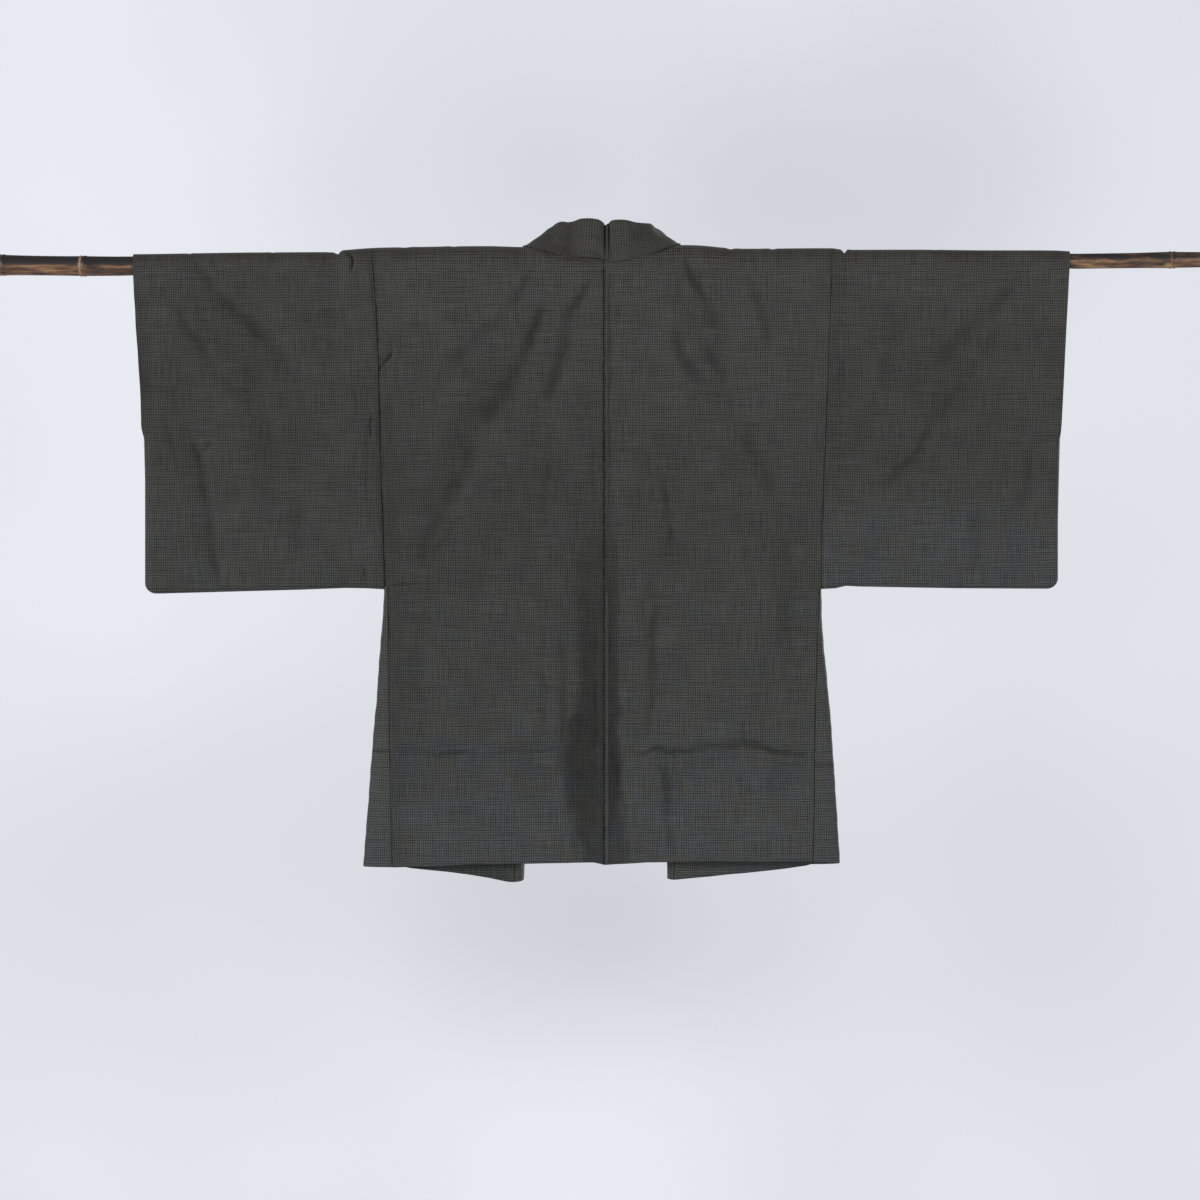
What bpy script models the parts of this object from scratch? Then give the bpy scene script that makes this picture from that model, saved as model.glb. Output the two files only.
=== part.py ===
"""A haori jacket hung on a smoked bamboo pole.

The frame is in metres with +Z up. +X runs along the pole and the garment's back faces -Y. The origin
is on the pole's axis, at the middle of the neck. Sizes are written in millimetres, and MM turns them
to metres. A place on the cloth is given by x and by its drop: the length of cloth between it and the
ridge where the cloth turns over the pole, which is also its depth below the ridge's level.
"""

import math
from collections import namedtuple

import bmesh
import bpy
from mathutils import Vector

MM = 0.001

# Pole
POLE_LENGTH = 1820
POLE_RADIUS = 12.0  # at the middle
POLE_TAPER = 0.0023  # radius lost for each millimetre towards +X
POLE_SLOPE = 0.0042
POLE_STRAIGHT_FROM = 860  # the sawn ends stand square to X past here
NODE_RIDGE = 0.7  # how far a node ring stands out of the culm
NODE_HALF_WIDTH = 6
FIRST_NODE_X = -868.5
FIRST_INTERNODE = 121.5
INTERNODE_GROWTH = 1.07
POLE_SIDES = 16

# Cloth
WALL = 1.6  # cloth with its lining
COLLAR_WALL = 2.0  # the band is sewn double
SEAM_GAP = 0.3
RIDGE_LEVEL = 26.7  # a place that hangs free is at this height less its drop
HANG_GAP = 10  # from the middle plane to either layer, where the layers have come together
HANG_LENGTH = 420  # the layers come together over this length below the pole
FOLD_FADE = 30  # folds fade out over this length next to the ridge and the closed edges
FOLD_RISE = 60  # a fold reaches its depth over this length, from a share of it at its tip
FOLD_FALL = 90
FOLD_TIP = 0.3

# Rows of (x, gap between the culm and the cloth over it): the shoulders' layers arch over the culm
STAND_OFF = (
    (-680, 1.3),
    (-480, 1.4),
    (-400, 1.9),
    (-365, 4.0),
    (-332, 6.4),
    (-120, 7.6),
    (60, 7.6),
    (105, 8.4),
    (137, 8.4),
    (168, 6.2),
    (194, 5.2),
    (334, 4.6),
    (372, 2.7),
    (480, 1.5),
    (680, 1.3),
)

# Drops of the rows of points, from the ridge down
OVER_POLE = (0, 7, 14, 21, 28)
ARMHOLE_END = 489
GUSSET_TOP = 495
MID_GUSSET = 700  # where a gusset's seam stands for its whole length
CUFF_OPENING = 266  # lower end of the cuff's opening
CUFF_FADE = 40  # folds fade out of the sewn outer end over this length above it
CUFF_STEPS = 6
ARMHOLE_STEPS = 5
LOWER_STEPS = 10

# Columns of a body panel between the armhole and the neck corner, of a sleeve and of a gusset's halves
SHOULDER_STEPS = 6
SLEEVE_STEPS = 7
SLEEVE_PLAIN_END = 45  # the even columns of a sleeve stop this far from its outer end
GUSSET_HALF_STEPS = 4
NECK_SHARES = (0.925, 0.792, 0.585, 0.33, 0.115, 0)  # shares of the neck's half width

# Edges: rows of (drop, x), joined by straight lines
ARMHOLE = {
    "left": (
        (0, -332.5),
        (88, -326),
        (179, -322),
        (301, -320),
        (489, -314),
        (495, -309),
        (661, -307.5),
        (890, -303),
    ),
    "right": ((0, 324), (81, 322), (267, 316), (489, 311.5), (495, 306), (661, 300.3), (883, 297.4)),
}
SLEEVE_END = {
    "left": (
        (0, -673.5),
        (109, -669),
        (224, -662),
        (266, -660.5),
        (281, -657.8),
        (338, -656.4),
        (500, -656.4),
    ),
    "right": ((0, 665), (138, 658), (266, 652), (281, 650.7), (338, 649.2), (395, 648), (500, 648)),
}
SIDE_FOLD = {
    "left": ((495, -313.2), (538, -316), (653, -324.6), (738, -331.8), (796, -336), (888, -343.2)),
    "right": ((495, 309.5), (581, 313.2), (653, 320.3), (738, 326), (796, 330.3), (884, 335.3)),
}
FRONT_EDGE = {
    "left": ((0, -106), (914, -129)),
    "right": ((0, 98), (910, 99.7)),
}

# Lower ends: rows of (x, drop)
BACK_HEM = (
    (-343, 888.6),
    (-303, 891.4),
    (-114, 886.6),
    (-16, 884.3),
    (0, 887.6),
    (16, 884.6),
    (90, 884),
    (336, 883.5),
)
FRONT_HEM = {
    "left": ((-303, 890), (-280, 893), (-129, 914)),
    "right": ((99.7, 910), (299, 885)),
}
SLEEVE_BOTTOM = {
    "left": ((-650, 498), (-635, 498), (-435, 492.5), (-370, 491), (-314, 493)),
    "right": ((311, 492), (330, 491), (366, 488), (623, 491), (648, 491)),
}
SLEEVE_CORNER = 15  # radius of the sleeve's lower outer corner

# Neck: the seam's dip at the back, and the collar's free edge, which covers it
NECK_HALF_WIDTH = {"left": 106, "right": 98}
NECK_DIP = 23
NECK_ROUNDNESS = 0.7
COLLAR_COVER = 11  # the free edge lies this far outside the seam at the shoulders
COLLAR_EDGE_DIP = 27.2
COLLAR_LIFT = 3.4  # from the middle of the cloth to the middle of the free edge that lies on it
FRONT_COVER = 6  # and this far outside it down the fronts
COVER_FADE = 60  # drop over which the one becomes the other
FOLD_RADIUS = 2.6  # of the collar's folded edge
COLLAR_LEAD = 3  # the band leaves its seam in line with the cloth for this long
COLLAR_BEND = 0.3  # and bends over this share of its width

# Where the collar's fold lies from its seam, by the length along the seam from the middle of the neck
Lean = namedtuple("Lean", "along inward forward up")
COLLAR_LEAN = {
    "left": (
        Lean(0, 0, 8, 47),
        Lean(12, 1, 3, 52.5),
        Lean(35, 3, 4, 52),
        Lean(62, 8, 14, 46),
        Lean(85, 19, 25, 39),
        Lean(100, 27, 31, 30.5),
        Lean(111, 31, 34, 23),
        Lean(123, 27, 36, 16),
        Lean(135, 25, 43, 11),
        Lean(178, 27, 49, 5),
        Lean(430, 33, 46, 0),
        Lean(720, 26, 51, 0),
        Lean(1030, 14, 56, 0),
    ),
    "right": (
        Lean(0, 0, 8, 47),
        Lean(12, 1, 3, 52),
        Lean(33, 3, 4, 50.5),
        Lean(58, 7, 14, 45.5),
        Lean(79, 15, 25, 41),
        Lean(93, 22, 31, 33.5),
        Lean(104, 23, 34, 28),
        Lean(116, 19, 36, 21.5),
        Lean(128, 19, 43, 14),
        Lean(171, 26, 49, 5),
        Lean(423, 31, 47, 0),
        Lean(720, 21, 53, 0),
        Lean(1023, 7, 57, 0),
    ),
}

# Folds: a soft trough (deep below 0) or ridge of the cloth along a path of (x, drop) points
Fold = namedtuple("Fold", "path half_width deep")
BACK_FOLDS = (
    Fold(((-84, 91), (-103, 142), (-160, 244), (-206, 321), (-256, 467)), 42, -4.5),
    Fold(((-110, 60), (-190, 190), (-255, 330)), 36, 3.0),
    Fold(((-20, 52), (-71, 186), (-88, 300), (-90, 410)), 36, -3.0),
    Fold(((-4, 330), (-14, 500), (-18, 640), (-38, 884)), 44, -4.5),
    Fold(((16, 420), (22, 600), (34, 740), (36, 884)), 34, -3.0),
    Fold(((107, 26), (164, 116), (190, 220), (236, 347)), 40, -3.5),
    Fold(((94, 98), (120, 174), (150, 260), (170, 380)), 36, 2.5),
    Fold(((86, 347), (104, 468), (79, 540), (62, 704)), 40, -3.0),
    Fold(((93, 741), (95, 884)), 34, -2.5),
    Fold(((-200, 560), (-214, 740), (-230, 884)), 50, 2.5),
    Fold(((215, 520), (228, 700), (240, 884)), 50, 2.5),
    Fold(((-585, 40), (-549, 64), (-486, 119), (-440, 190), (-400, 290)), 42, -4.5),
    Fold(((-627, 74), (-592, 122), (-540, 200), (-505, 320), (-490, 440)), 38, 3.0),
    Fold(((-603, 253), (-571, 336), (-550, 480)), 36, -3.5),
    Fold(((579, 55), (539, 105), (480, 160), (410, 230)), 42, -4.5),
    Fold(((565, 83), (536, 169), (458, 272), (390, 365)), 38, 3.0),
    Fold(((608, 272), (598, 353), (590, 470)), 36, -3.0),
)
FRONT_FOLDS = (
    Fold(((-130, 70), (-185, 200), (-235, 330), (-262, 480)), 44, -4.0),
    Fold(((-196, 330), (-200, 560), (-212, 890)), 46, 3.0),
    Fold(((-250, 600), (-262, 890)), 40, -3.0),
    Fold(((122, 60), (170, 170), (214, 300), (246, 450)), 42, -4.0),
    Fold(((180, 380), (184, 620), (178, 890)), 44, 3.0),
    Fold(((232, 560), (240, 885)), 40, -3.0),
    Fold(((-600, 50), (-520, 150), (-430, 260), (-380, 380)), 44, -4.0),
    Fold(((-600, 220), (-572, 340), (-560, 480)), 40, 3.0),
    Fold(((590, 60), (520, 170), (440, 270), (380, 400)), 44, -4.0),
    Fold(((604, 240), (580, 350), (566, 480)), 40, 3.0),
)

FACING = {"back": -1, "front": 1}
OUTWARD = {"left": -1, "right": 1}


def straight(rows, at):
    """The second value of a table's rows at a place between them, on straight lines."""
    if at <= rows[0][0]:
        return rows[0][1]
    for low, high in zip(rows, rows[1:]):
        if at <= high[0]:
            share = (at - low[0]) / (high[0] - low[0])
            return low[1] + share * (high[1] - low[1])
    return rows[-1][1]


def smooth(rows, at):
    """All values of a table's rows but the first, on a smooth curve through the rows."""
    at = min(max(at, rows[0][0]), rows[-1][0])
    i = max(k for k in range(len(rows) - 1) if rows[k][0] <= at)
    before, low, high, after = rows[max(i - 1, 0)], rows[i], rows[i + 1], rows[min(i + 2, len(rows) - 1)]
    step = high[0] - low[0]
    t = (at - low[0]) / step
    values = []
    for k in range(1, len(low)):
        start = (high[k] - before[k]) / (high[0] - before[0]) * step
        end = (after[k] - low[k]) / (after[0] - low[0]) * step
        values.append(
            low[k] * (2 * t**3 - 3 * t**2 + 1)
            + start * (t**3 - 2 * t**2 + t)
            + high[k] * (3 * t**2 - 2 * t**3)
            + end * (t**3 - t**2)
        )
    return values


def ease(share):
    """0 below 0, 1 above 1 and a soft step between."""
    share = min(max(share, 0), 1)
    return share * share * (3 - 2 * share)


def pole_radius(x):
    return POLE_RADIUS - POLE_TAPER * x


def pole_height(x):
    return POLE_SLOPE * min(max(x, -POLE_STRAIGHT_FROM), POLE_STRAIGHT_FROM)


def saddle_radius(x):
    """From the pole's axis to the middle of the cloth that lies over it."""
    return pole_radius(x) + smooth(STAND_OFF, x)[0] + WALL / 2


def saddle_angle(x, drop):
    """Angle around the pole from its top; a right angle where the cloth starts to hang free."""
    return min(drop / (RIDGE_LEVEL - pole_height(x)), 1) * math.pi / 2


def fold_depth(folds, x, drop):
    """How far the folds move the cloth outward at a place."""
    moved = 0
    here = Vector((x, drop))
    for fold in folds:
        path = [Vector(point) for point in fold.path]
        lengths = [(b - a).length for a, b in zip(path, path[1:])]
        passed, best, along = 0, fold.half_width, 0
        for a, b, length in zip(path, path[1:], lengths):
            share = min(max((here - a).dot(b - a) / length**2, 0), 1)
            away = (here - a.lerp(b, share)).length
            if away < best:
                best, along = away, passed + share * length
            passed += length
        across = (1 - (best / fold.half_width) ** 2) ** 2
        ends = ease(along / FOLD_RISE + FOLD_TIP) * ease((passed - along) / FOLD_FALL + FOLD_TIP)
        moved += fold.deep * across * ends
    return moved


def cloth_point(x, drop, face, out=0.0, calm=1.0):
    """A point of the middle of the hanging cloth, or one moved outward from it."""
    turn = FACING[face]
    radius = saddle_radius(x)
    below = drop - RIDGE_LEVEL + pole_height(x)
    if below <= 0:
        angle = saddle_angle(x, drop)
        side, up = math.sin(angle), math.cos(angle)
        return Vector((x, turn * (radius + out) * side, pole_height(x) + (radius + out) * up))
    share = min(below / HANG_LENGTH, 1)
    gap = HANG_GAP + (radius - HANG_GAP) * (1 - share**2) ** 2
    folds = BACK_FOLDS if face == "back" else FRONT_FOLDS
    calm *= ease(below / FOLD_FADE)
    moved = fold_depth(folds, x, drop) * calm if calm else 0
    return Vector((x, turn * (gap + moved + out), RIDGE_LEVEL - drop))


def cloth_normal(x, drop, face):
    """Outward from the cloth, where it lies on the pole or hangs."""
    angle = saddle_angle(x, drop)
    return Vector((0, FACING[face] * math.sin(angle), math.cos(angle)))


def steps(start, end, count):
    return [start + (end - start) * i / count for i in range(1, count + 1)]


def upper_rows():
    """Drops from the ridge to the lower end of the armhole."""
    beside_cuff = steps(OVER_POLE[-1], CUFF_OPENING, CUFF_STEPS)
    return [*OVER_POLE, *beside_cuff, *steps(CUFF_OPENING, ARMHOLE_END, ARMHOLE_STEPS)]


def body_rows(x, face, side, start=0.0):
    """Drops of a body panel's points at x, from the ridge or the neck seam to the hem."""
    hem = straight(BACK_HEM if face == "back" else FRONT_HEM[side], x)
    upper = [start + drop * (ARMHOLE_END - start) / ARMHOLE_END for drop in upper_rows()]
    return [*upper, GUSSET_TOP, *steps(GUSSET_TOP, hem, LOWER_STEPS)]


def neck_drop(x, side):
    """Drop of the back neck's seam."""
    share = 1 - (x / NECK_HALF_WIDTH[side]) ** 2
    return NECK_DIP * max(share, 0) ** NECK_ROUNDNESS


def sheet(name, grid, wall, material, has_cloth=lambda row, column: True, round_trip=False):
    """A cloth piece: rows of points joined by faces, with Solidify for its wall."""
    bm = bmesh.new()
    points = [[bm.verts.new(point * MM) for point in row] for row in grid]
    row_pairs = list(zip(points, points[1:]))
    if round_trip:
        row_pairs.append((points[-1], points[0]))
    for i, (upper, lower) in enumerate(row_pairs):
        for j in range(len(upper) - 1):
            if has_cloth(i, j):
                bm.faces.new((upper[j], upper[j + 1], lower[j + 1], lower[j]))
    bmesh.ops.delete(bm, geom=[v for v in bm.verts if not v.link_faces], context="VERTS")
    bmesh.ops.remove_doubles(bm, verts=bm.verts, dist=0.01 * MM)
    mesh = bpy.data.meshes.new(name)
    bm.to_mesh(mesh)
    bm.free()
    mesh.shade_smooth()
    mesh.materials.append(material)
    piece = bpy.data.objects.new(name, mesh)
    solidify = piece.modifiers.new("wall", "SOLIDIFY")
    solidify.thickness = wall * MM
    solidify.offset = 0
    return piece


def body_panel(side, material):
    """From the front hem over the shoulder to the back hem, with the neck cut out of its inner edge."""
    sign = OUTWARD[side]
    neck = NECK_HALF_WIDTH[side]
    row_count = len(body_rows(0, "back", side))

    def edge_to_edge(drop, inner, share):
        outer = straight(ARMHOLE[side], drop) - sign * SEAM_GAP / 2
        return outer + share * (inner - outer)

    shares = [i / SHOULDER_STEPS for i in range(SHOULDER_STEPS + 1)]
    grid = []
    for row in reversed(range(1, row_count)):
        points = []
        for share in shares:
            drop = row_drop(row, side, "front", share)
            inner = straight(FRONT_EDGE[side], drop) + sign * SEAM_GAP / 2
            points.append(cloth_point(edge_to_edge(drop, inner, share), drop, "front"))
        grid.append(points + [points[-1]] * len(NECK_SHARES))
    ridge_row = len(grid)
    for row in range(row_count):
        points = []
        for share in shares:
            drop = row_drop(row, side, "back", share)
            inner = sign * (neck + (SEAM_GAP / 2 if row == 0 else 0))
            points.append(cloth_point(edge_to_edge(drop, inner, share), drop, "back"))
        for neck_share in NECK_SHARES:
            x = sign * max(neck * neck_share, SEAM_GAP / 2)
            start = neck_drop(x, side) + SEAM_GAP / 2
            points.append(cloth_point(x, body_rows(x, "back", side, start)[row], "back"))
        grid.append(points)

    def has_cloth(row, column):
        return row >= ridge_row or column < SHOULDER_STEPS

    return sheet(f"body_{side}", grid, WALL, material, has_cloth)


def row_drop(row, side, face, share):
    """Drop of a body panel's row, a share of the way from the armhole to the neck corner."""
    outer = straight(ARMHOLE[side], ARMHOLE_END if row < len(upper_rows()) else MID_GUSSET)
    inner = straight(FRONT_EDGE[side], MID_GUSSET)
    return body_rows(outer + share * (inner - outer), face, side)[row]


def sleeve(side, material):
    """A tube folded over the pole, closed below and at its outer end under the cuff opening."""
    sign = OUTWARD[side]
    armhole_bottom = straight(SLEEVE_BOTTOM[side], straight(ARMHOLE[side], ARMHOLE_END))
    rows = upper_rows()[:-1]
    # Rows of the rounded bottom: height above it and share of the layers' gap
    bottom_rows = ((9.5, 0.98), (3.2, 0.75), (0, 0))
    # Columns of the sewn outer end: distance from it and share of the layers' gap
    end_columns = ((14, 0.97), (5, 0.75), (0, 0))

    def sleeve_point(drop, face, column, height=None, narrow=1.0):
        inner = straight(ARMHOLE[side], min(drop, ARMHOLE_END)) + sign * SEAM_GAP / 2
        outer = straight(SLEEVE_END[side], drop)
        if column <= SLEEVE_STEPS:
            share = column / SLEEVE_STEPS
            x = inner + share * (outer - sign * SLEEVE_PLAIN_END - inner)
            pinch = 1.0
        else:
            away, pinch = end_columns[column - SLEEVE_STEPS - 1]
            x = outer - sign * away
            if drop < CUFF_OPENING:
                pinch = 1.0
        bottom = straight(SLEEVE_BOTTOM[side], x)
        to_end = abs(outer - x)
        if to_end < SLEEVE_CORNER:
            reach = SLEEVE_CORNER - to_end
            bottom -= SLEEVE_CORNER - math.sqrt(SLEEVE_CORNER**2 - reach**2)
        if height is None:
            placed = drop * bottom / armhole_bottom
        else:
            placed = bottom - height
        sewn = ease((placed - CUFF_OPENING) / CUFF_FADE + 1)
        calm = ease((bottom - placed) / FOLD_FADE) * (1 - sewn * (1 - ease(to_end / FOLD_FADE)))
        point = cloth_point(x, placed, face, calm=calm)
        point.y *= pinch * narrow
        return point

    columns = range(SLEEVE_STEPS + len(end_columns) + 1)
    grid = []
    for face, order in (("back", rows), ("front", rows[:0:-1])):
        bottom = [
            [sleeve_point(armhole_bottom - height, face, column, height, narrow) for column in columns]
            for height, narrow in bottom_rows
        ]
        hanging = [[sleeve_point(drop, face, column) for column in columns] for drop in order]
        grid += [*hanging, *bottom] if face == "back" else [*bottom[-2::-1], *hanging]
    return sheet(f"sleeve_{side}", grid, WALL, material, round_trip=True)


def gusset(side, material):
    """A narrow wedge between the front and back panels, folded outward, from the sleeve to the hem."""
    sign = OUTWARD[side]
    seam_x = straight(ARMHOLE[side], MID_GUSSET)
    grid = []
    for row in range(-LOWER_STEPS - 1, 0):
        points = []
        for step in range(2 * GUSSET_HALF_STEPS + 1):
            angle = math.pi / 2 * step / GUSSET_HALF_STEPS
            face = "back" if step <= GUSSET_HALF_STEPS else "front"
            drop = body_rows(seam_x, face, side)[row]
            seam = straight(ARMHOLE[side], drop) + sign * 2 * SEAM_GAP
            fold = straight(SIDE_FOLD[side], drop)
            point = cloth_point(seam, drop, face)
            point.x = seam + (fold - seam) * math.sin(angle)
            point.y *= abs(math.cos(angle))
            points.append(point)
        middle = points[GUSSET_HALF_STEPS]
        middle.z = (points[0].z + points[-1].z) / 2
        grid.append(points)
    return sheet(f"gusset_{side}", grid, WALL, material)


def bezier(p0, p1, p2, p3, t):
    return p0 * (1 - t) ** 3 + p1 * 3 * t * (1 - t) ** 2 + p2 * 3 * t * t * (1 - t) + p3 * t**3


def collar_section(seam, into, fold, edge, across):
    """Points across the band: out from the seam, round the fold and back to the free edge."""
    start = seam + into * SEAM_GAP
    lead = start + into * COLLAR_LEAD
    axis = (fold - start).normalized()
    reach = (fold - start).length * COLLAR_BEND
    tip = fold - axis * FOLD_RADIUS
    outer_tip = tip + across * 2 * FOLD_RADIUS
    points = [start, lead]
    points += [bezier(lead, lead + into * reach, tip - axis * reach, tip, t) for t in (0.35, 0.7)]
    for angle in (0, 90, 180):
        turn = math.radians(angle)
        points.append(tip + across * FOLD_RADIUS * (1 - math.cos(turn)) + axis * FOLD_RADIUS * math.sin(turn))
    points += [
        bezier(outer_tip, outer_tip - axis * reach, edge + into * reach, edge, t) for t in (0.35, 0.7, 1)
    ]
    return points


def collar_half(side):
    """Seam point, cloth normal, fold and free edge at each row of points, from the neck to a hem."""
    sign = OUTWARD[side]
    neck = NECK_HALF_WIDTH[side]
    places = []
    for share in (*reversed(NECK_SHARES), 1):
        x = sign * neck * share
        edge_x = x + sign * COLLAR_COVER * share
        uncovered = 1 - (edge_x / (neck + COLLAR_COVER)) ** 2
        edge_drop = COLLAR_EDGE_DIP * max(uncovered, 0) ** NECK_ROUNDNESS
        places.append((x, neck_drop(x, side), edge_x, edge_drop, "back"))
    for row in range(1, len(body_rows(0, "front", side))):
        drop = row_drop(row, side, "front", 1)
        x = straight(FRONT_EDGE[side], drop)
        cover = FRONT_COVER + (COLLAR_COVER - FRONT_COVER) * ease(1 - drop / COVER_FADE)
        places.append((x, drop, x + sign * cover, drop, "front"))
    half = []
    along, last = 0, None
    for x, drop, edge_x, edge_drop, face in places:
        seam = cloth_point(x, drop, face)
        along += (seam - last).length if last else 0
        last = seam
        inward, forward, up = smooth(COLLAR_LEAN[side], along)
        fold = seam + Vector((-sign * inward, forward, up))
        edge = cloth_point(edge_x, edge_drop, face, out=COLLAR_LIFT)
        half.append((seam, cloth_normal(x, drop, face), fold, edge))
    return half


def collar(material):
    """The band, from the left front hem round the back neck to the right front hem."""
    stations = collar_half("left")[:0:-1] + collar_half("right")
    last = len(stations) - 1
    grid = []
    for i, (seam, normal, fold, edge) in enumerate(stations):
        before, after = stations[max(i - 1, 0)], stations[min(i + 1, last)]
        into = normal.cross(after[0] - before[0]).normalized()
        across = (after[2] - before[2]).cross(fold - seam).normalized()
        grid.append(collar_section(seam, into, fold, edge, across))
    return sheet("collar", grid, COLLAR_WALL, material)


def pole(material):
    """The bamboo culm: a tapered, slightly bowed tube with a swelling at each node."""
    end = POLE_LENGTH / 2
    stops = {-end, -POLE_STRAIGHT_FROM, POLE_STRAIGHT_FROM, end}
    nodes = []
    x, internode = FIRST_NODE_X, FIRST_INTERNODE
    while x < end - NODE_HALF_WIDTH:
        nodes.append(x)
        x += internode
        internode *= INTERNODE_GROWTH
    for node in nodes:
        stops |= {node - NODE_HALF_WIDTH, node, node + NODE_HALF_WIDTH}
    for a, b in zip(nodes, nodes[1:]):
        stops.add((a + b) / 2)
    stops = sorted(stops)
    curve = bpy.data.curves.new("pole", "CURVE")
    curve.dimensions = "3D"
    spline = curve.splines.new("POLY")
    spline.points.add(len(stops) - 1)
    for point, x in zip(spline.points, stops):
        radius = pole_radius(x) + (NODE_RIDGE if x in nodes else 0)
        point.co = (x * MM, 0, pole_height(x) * MM, 1)
        point.radius = radius / POLE_RADIUS
    curve.bevel_depth = POLE_RADIUS * MM
    curve.bevel_resolution = (POLE_SIDES - 4) // 2
    curve.use_fill_caps = True
    curve.materials.append(material)
    return bpy.data.objects.new("pole", curve)


def finish(name, colour, roughness):
    material = bpy.data.materials.new(name)
    material.use_nodes = True
    shader = material.node_tree.nodes["Principled BSDF"]
    shader.inputs["Base Color"].default_value = (*colour, 1)
    shader.inputs["Roughness"].default_value = roughness
    shader.inputs["Metallic"].default_value = 0
    return material


def main():
    for old in list(bpy.data.objects):
        bpy.data.objects.remove(old)
    collection = bpy.data.collections.new("Haori on its pole")
    bpy.context.scene.collection.children.link(collection)
    root = bpy.data.objects.new("haori_on_pole", None)
    collection.objects.link(root)
    cloth = finish("Charcoal silk cloth", (0.05, 0.05, 0.049), 0.85)
    band = finish("Charcoal silk collar", (0.047, 0.046, 0.043), 0.85)
    bamboo = finish("Smoked bamboo", (0.09, 0.05, 0.03), 0.45)
    pieces = [pole(bamboo), collar(band)]
    for side in ("left", "right"):
        pieces += [body_panel(side, cloth), sleeve(side, cloth), gusset(side, cloth)]
    for piece in pieces:
        collection.objects.link(piece)
        piece.parent = root


main()
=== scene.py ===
"""Looks of the haori jacket on its bamboo pole.

The frame is in metres, +Z up, +X along the pole, and the garment's back faces -Y. Sizes are written in
millimetres, and MM turns them to metres. A place on the cloth is given by x and by its drop: the length
of cloth between it and the ridge over the pole, which is also its depth below the ridge's level. Places
are arrays: rows run from the ridge down, and columns run across the piece.
"""

import math
from collections import namedtuple
from functools import partial

import bpy
import numpy as np
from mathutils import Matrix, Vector


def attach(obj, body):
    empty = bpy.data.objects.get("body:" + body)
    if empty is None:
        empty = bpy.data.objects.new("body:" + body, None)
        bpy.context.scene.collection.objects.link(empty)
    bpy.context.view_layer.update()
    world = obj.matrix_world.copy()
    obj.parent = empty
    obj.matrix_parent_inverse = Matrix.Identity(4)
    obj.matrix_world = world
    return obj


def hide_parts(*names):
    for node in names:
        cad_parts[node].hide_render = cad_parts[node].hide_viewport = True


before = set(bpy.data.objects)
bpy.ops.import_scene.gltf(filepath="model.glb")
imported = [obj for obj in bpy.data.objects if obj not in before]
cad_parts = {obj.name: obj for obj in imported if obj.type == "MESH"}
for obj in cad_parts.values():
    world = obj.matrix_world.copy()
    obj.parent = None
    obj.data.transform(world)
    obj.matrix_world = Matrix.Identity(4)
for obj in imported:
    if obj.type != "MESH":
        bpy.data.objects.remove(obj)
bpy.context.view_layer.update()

MM = 0.001

# ---------------------------------------------------------------- sizes that the solids have as well
POLE_LENGTH = 1820
POLE_RADIUS = 12.0
POLE_TAPER = 0.0023
POLE_SLOPE = 0.0042
POLE_STRAIGHT_FROM = 860
END_NODE_X = -862.5
FIRST_NODE_X = -747
FIRST_INTERNODE = 130
INTERNODE_GROWTH = 1.07

SOLID_WALL = 1.6
RIDGE_LEVEL = 26.7
HANG_GAP = 10
HANG_LENGTH = 420
FOLD_FADE = 30
FOLD_RISE = 60
FOLD_FALL = 90
FOLD_TIP = 0.3
STAND_OFF = (
    (-680, 1.0), (-480, 1.4), (-400, 1.6), (-388, 1.2), (-376, 2.4), (-366, 4.6), (-332, 7.2), (-290, 8.2),
    (-170, 9.6), (-120, 8.2), (60, 7.6), (105, 10.4), (137, 9.8), (168, 6.9), (194, 5.2), (326, 5.6),
    (337, 3.5), (348, 3.3), (372, 3.4), (450, 3.4), (540, 2.4), (640, 2.0), (668, 0.6), (680, 0.6),
)
POLE_SAG = ((-910, 0.2), (-860, -0.4), (-690, -1.9), (-640, -1.6), (-500, 0), (910, 0))

ARMHOLE_END = 489
GUSSET_TOP = 495
MID_GUSSET = 700
CUFF_OPENING = 266
CUFF_FADE = 40

ARMHOLE = {
    "left": (
        (0, -332.5), (88, -326), (179, -322), (301, -320), (489, -314), (495, -309), (661, -307.5),
        (890, -303),
    ),
    "right": (
        (0, 324), (81, 322), (267, 315.5), (402, 310), (489, 309.5), (495, 306), (661, 300.3), (883, 297.4),
    ),
}
SLEEVE_END = {
    "left": (
        (0, -673.5), (109, -669), (224, -662), (266, -660.5), (281, -657.8), (338, -656.4), (500, -656.4),
    ),
    "right": ((0, 665), (138, 658), (266, 652), (281, 650.7), (338, 649.2), (395, 648), (500, 648)),
}
SIDE_FOLD = {
    "left": ((495, -313.2), (538, -316), (653, -324.6), (738, -331.8), (796, -336), (888, -343.2)),
    "right": ((495, 308), (540, 309.6), (581, 312.3), (653, 319.8), (738, 326), (796, 329.6), (884, 335.3)),
}
FRONT_EDGE = {"left": ((0, -106), (914, -129)), "right": ((0, 98), (910, 99.7))}
BACK_HEM = (
    (-343, 888.6), (-303, 891.4), (-240, 889.4), (-190, 887.0), (-114, 886.2), (-16, 884.3), (0, 887.8),
    (16, 886.8), (34, 886), (60, 884.2), (90, 884), (336, 883.5),
)
FRONT_HEM = {
    "left": (
        (-303, 890), (-280, 894.2), (-252, 897), (-223, 899.8), (-194, 903.3), (-166, 907.6), (-152, 910.2),
        (-137, 913.3), (-129, 914.3),
    ),
    "right": (
        (99.7, 911), (120, 909), (149, 906.5), (177, 903.4), (206, 901), (234, 898), (263, 894.7),
        (292, 890.5), (299, 888.5),
    ),
}
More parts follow.
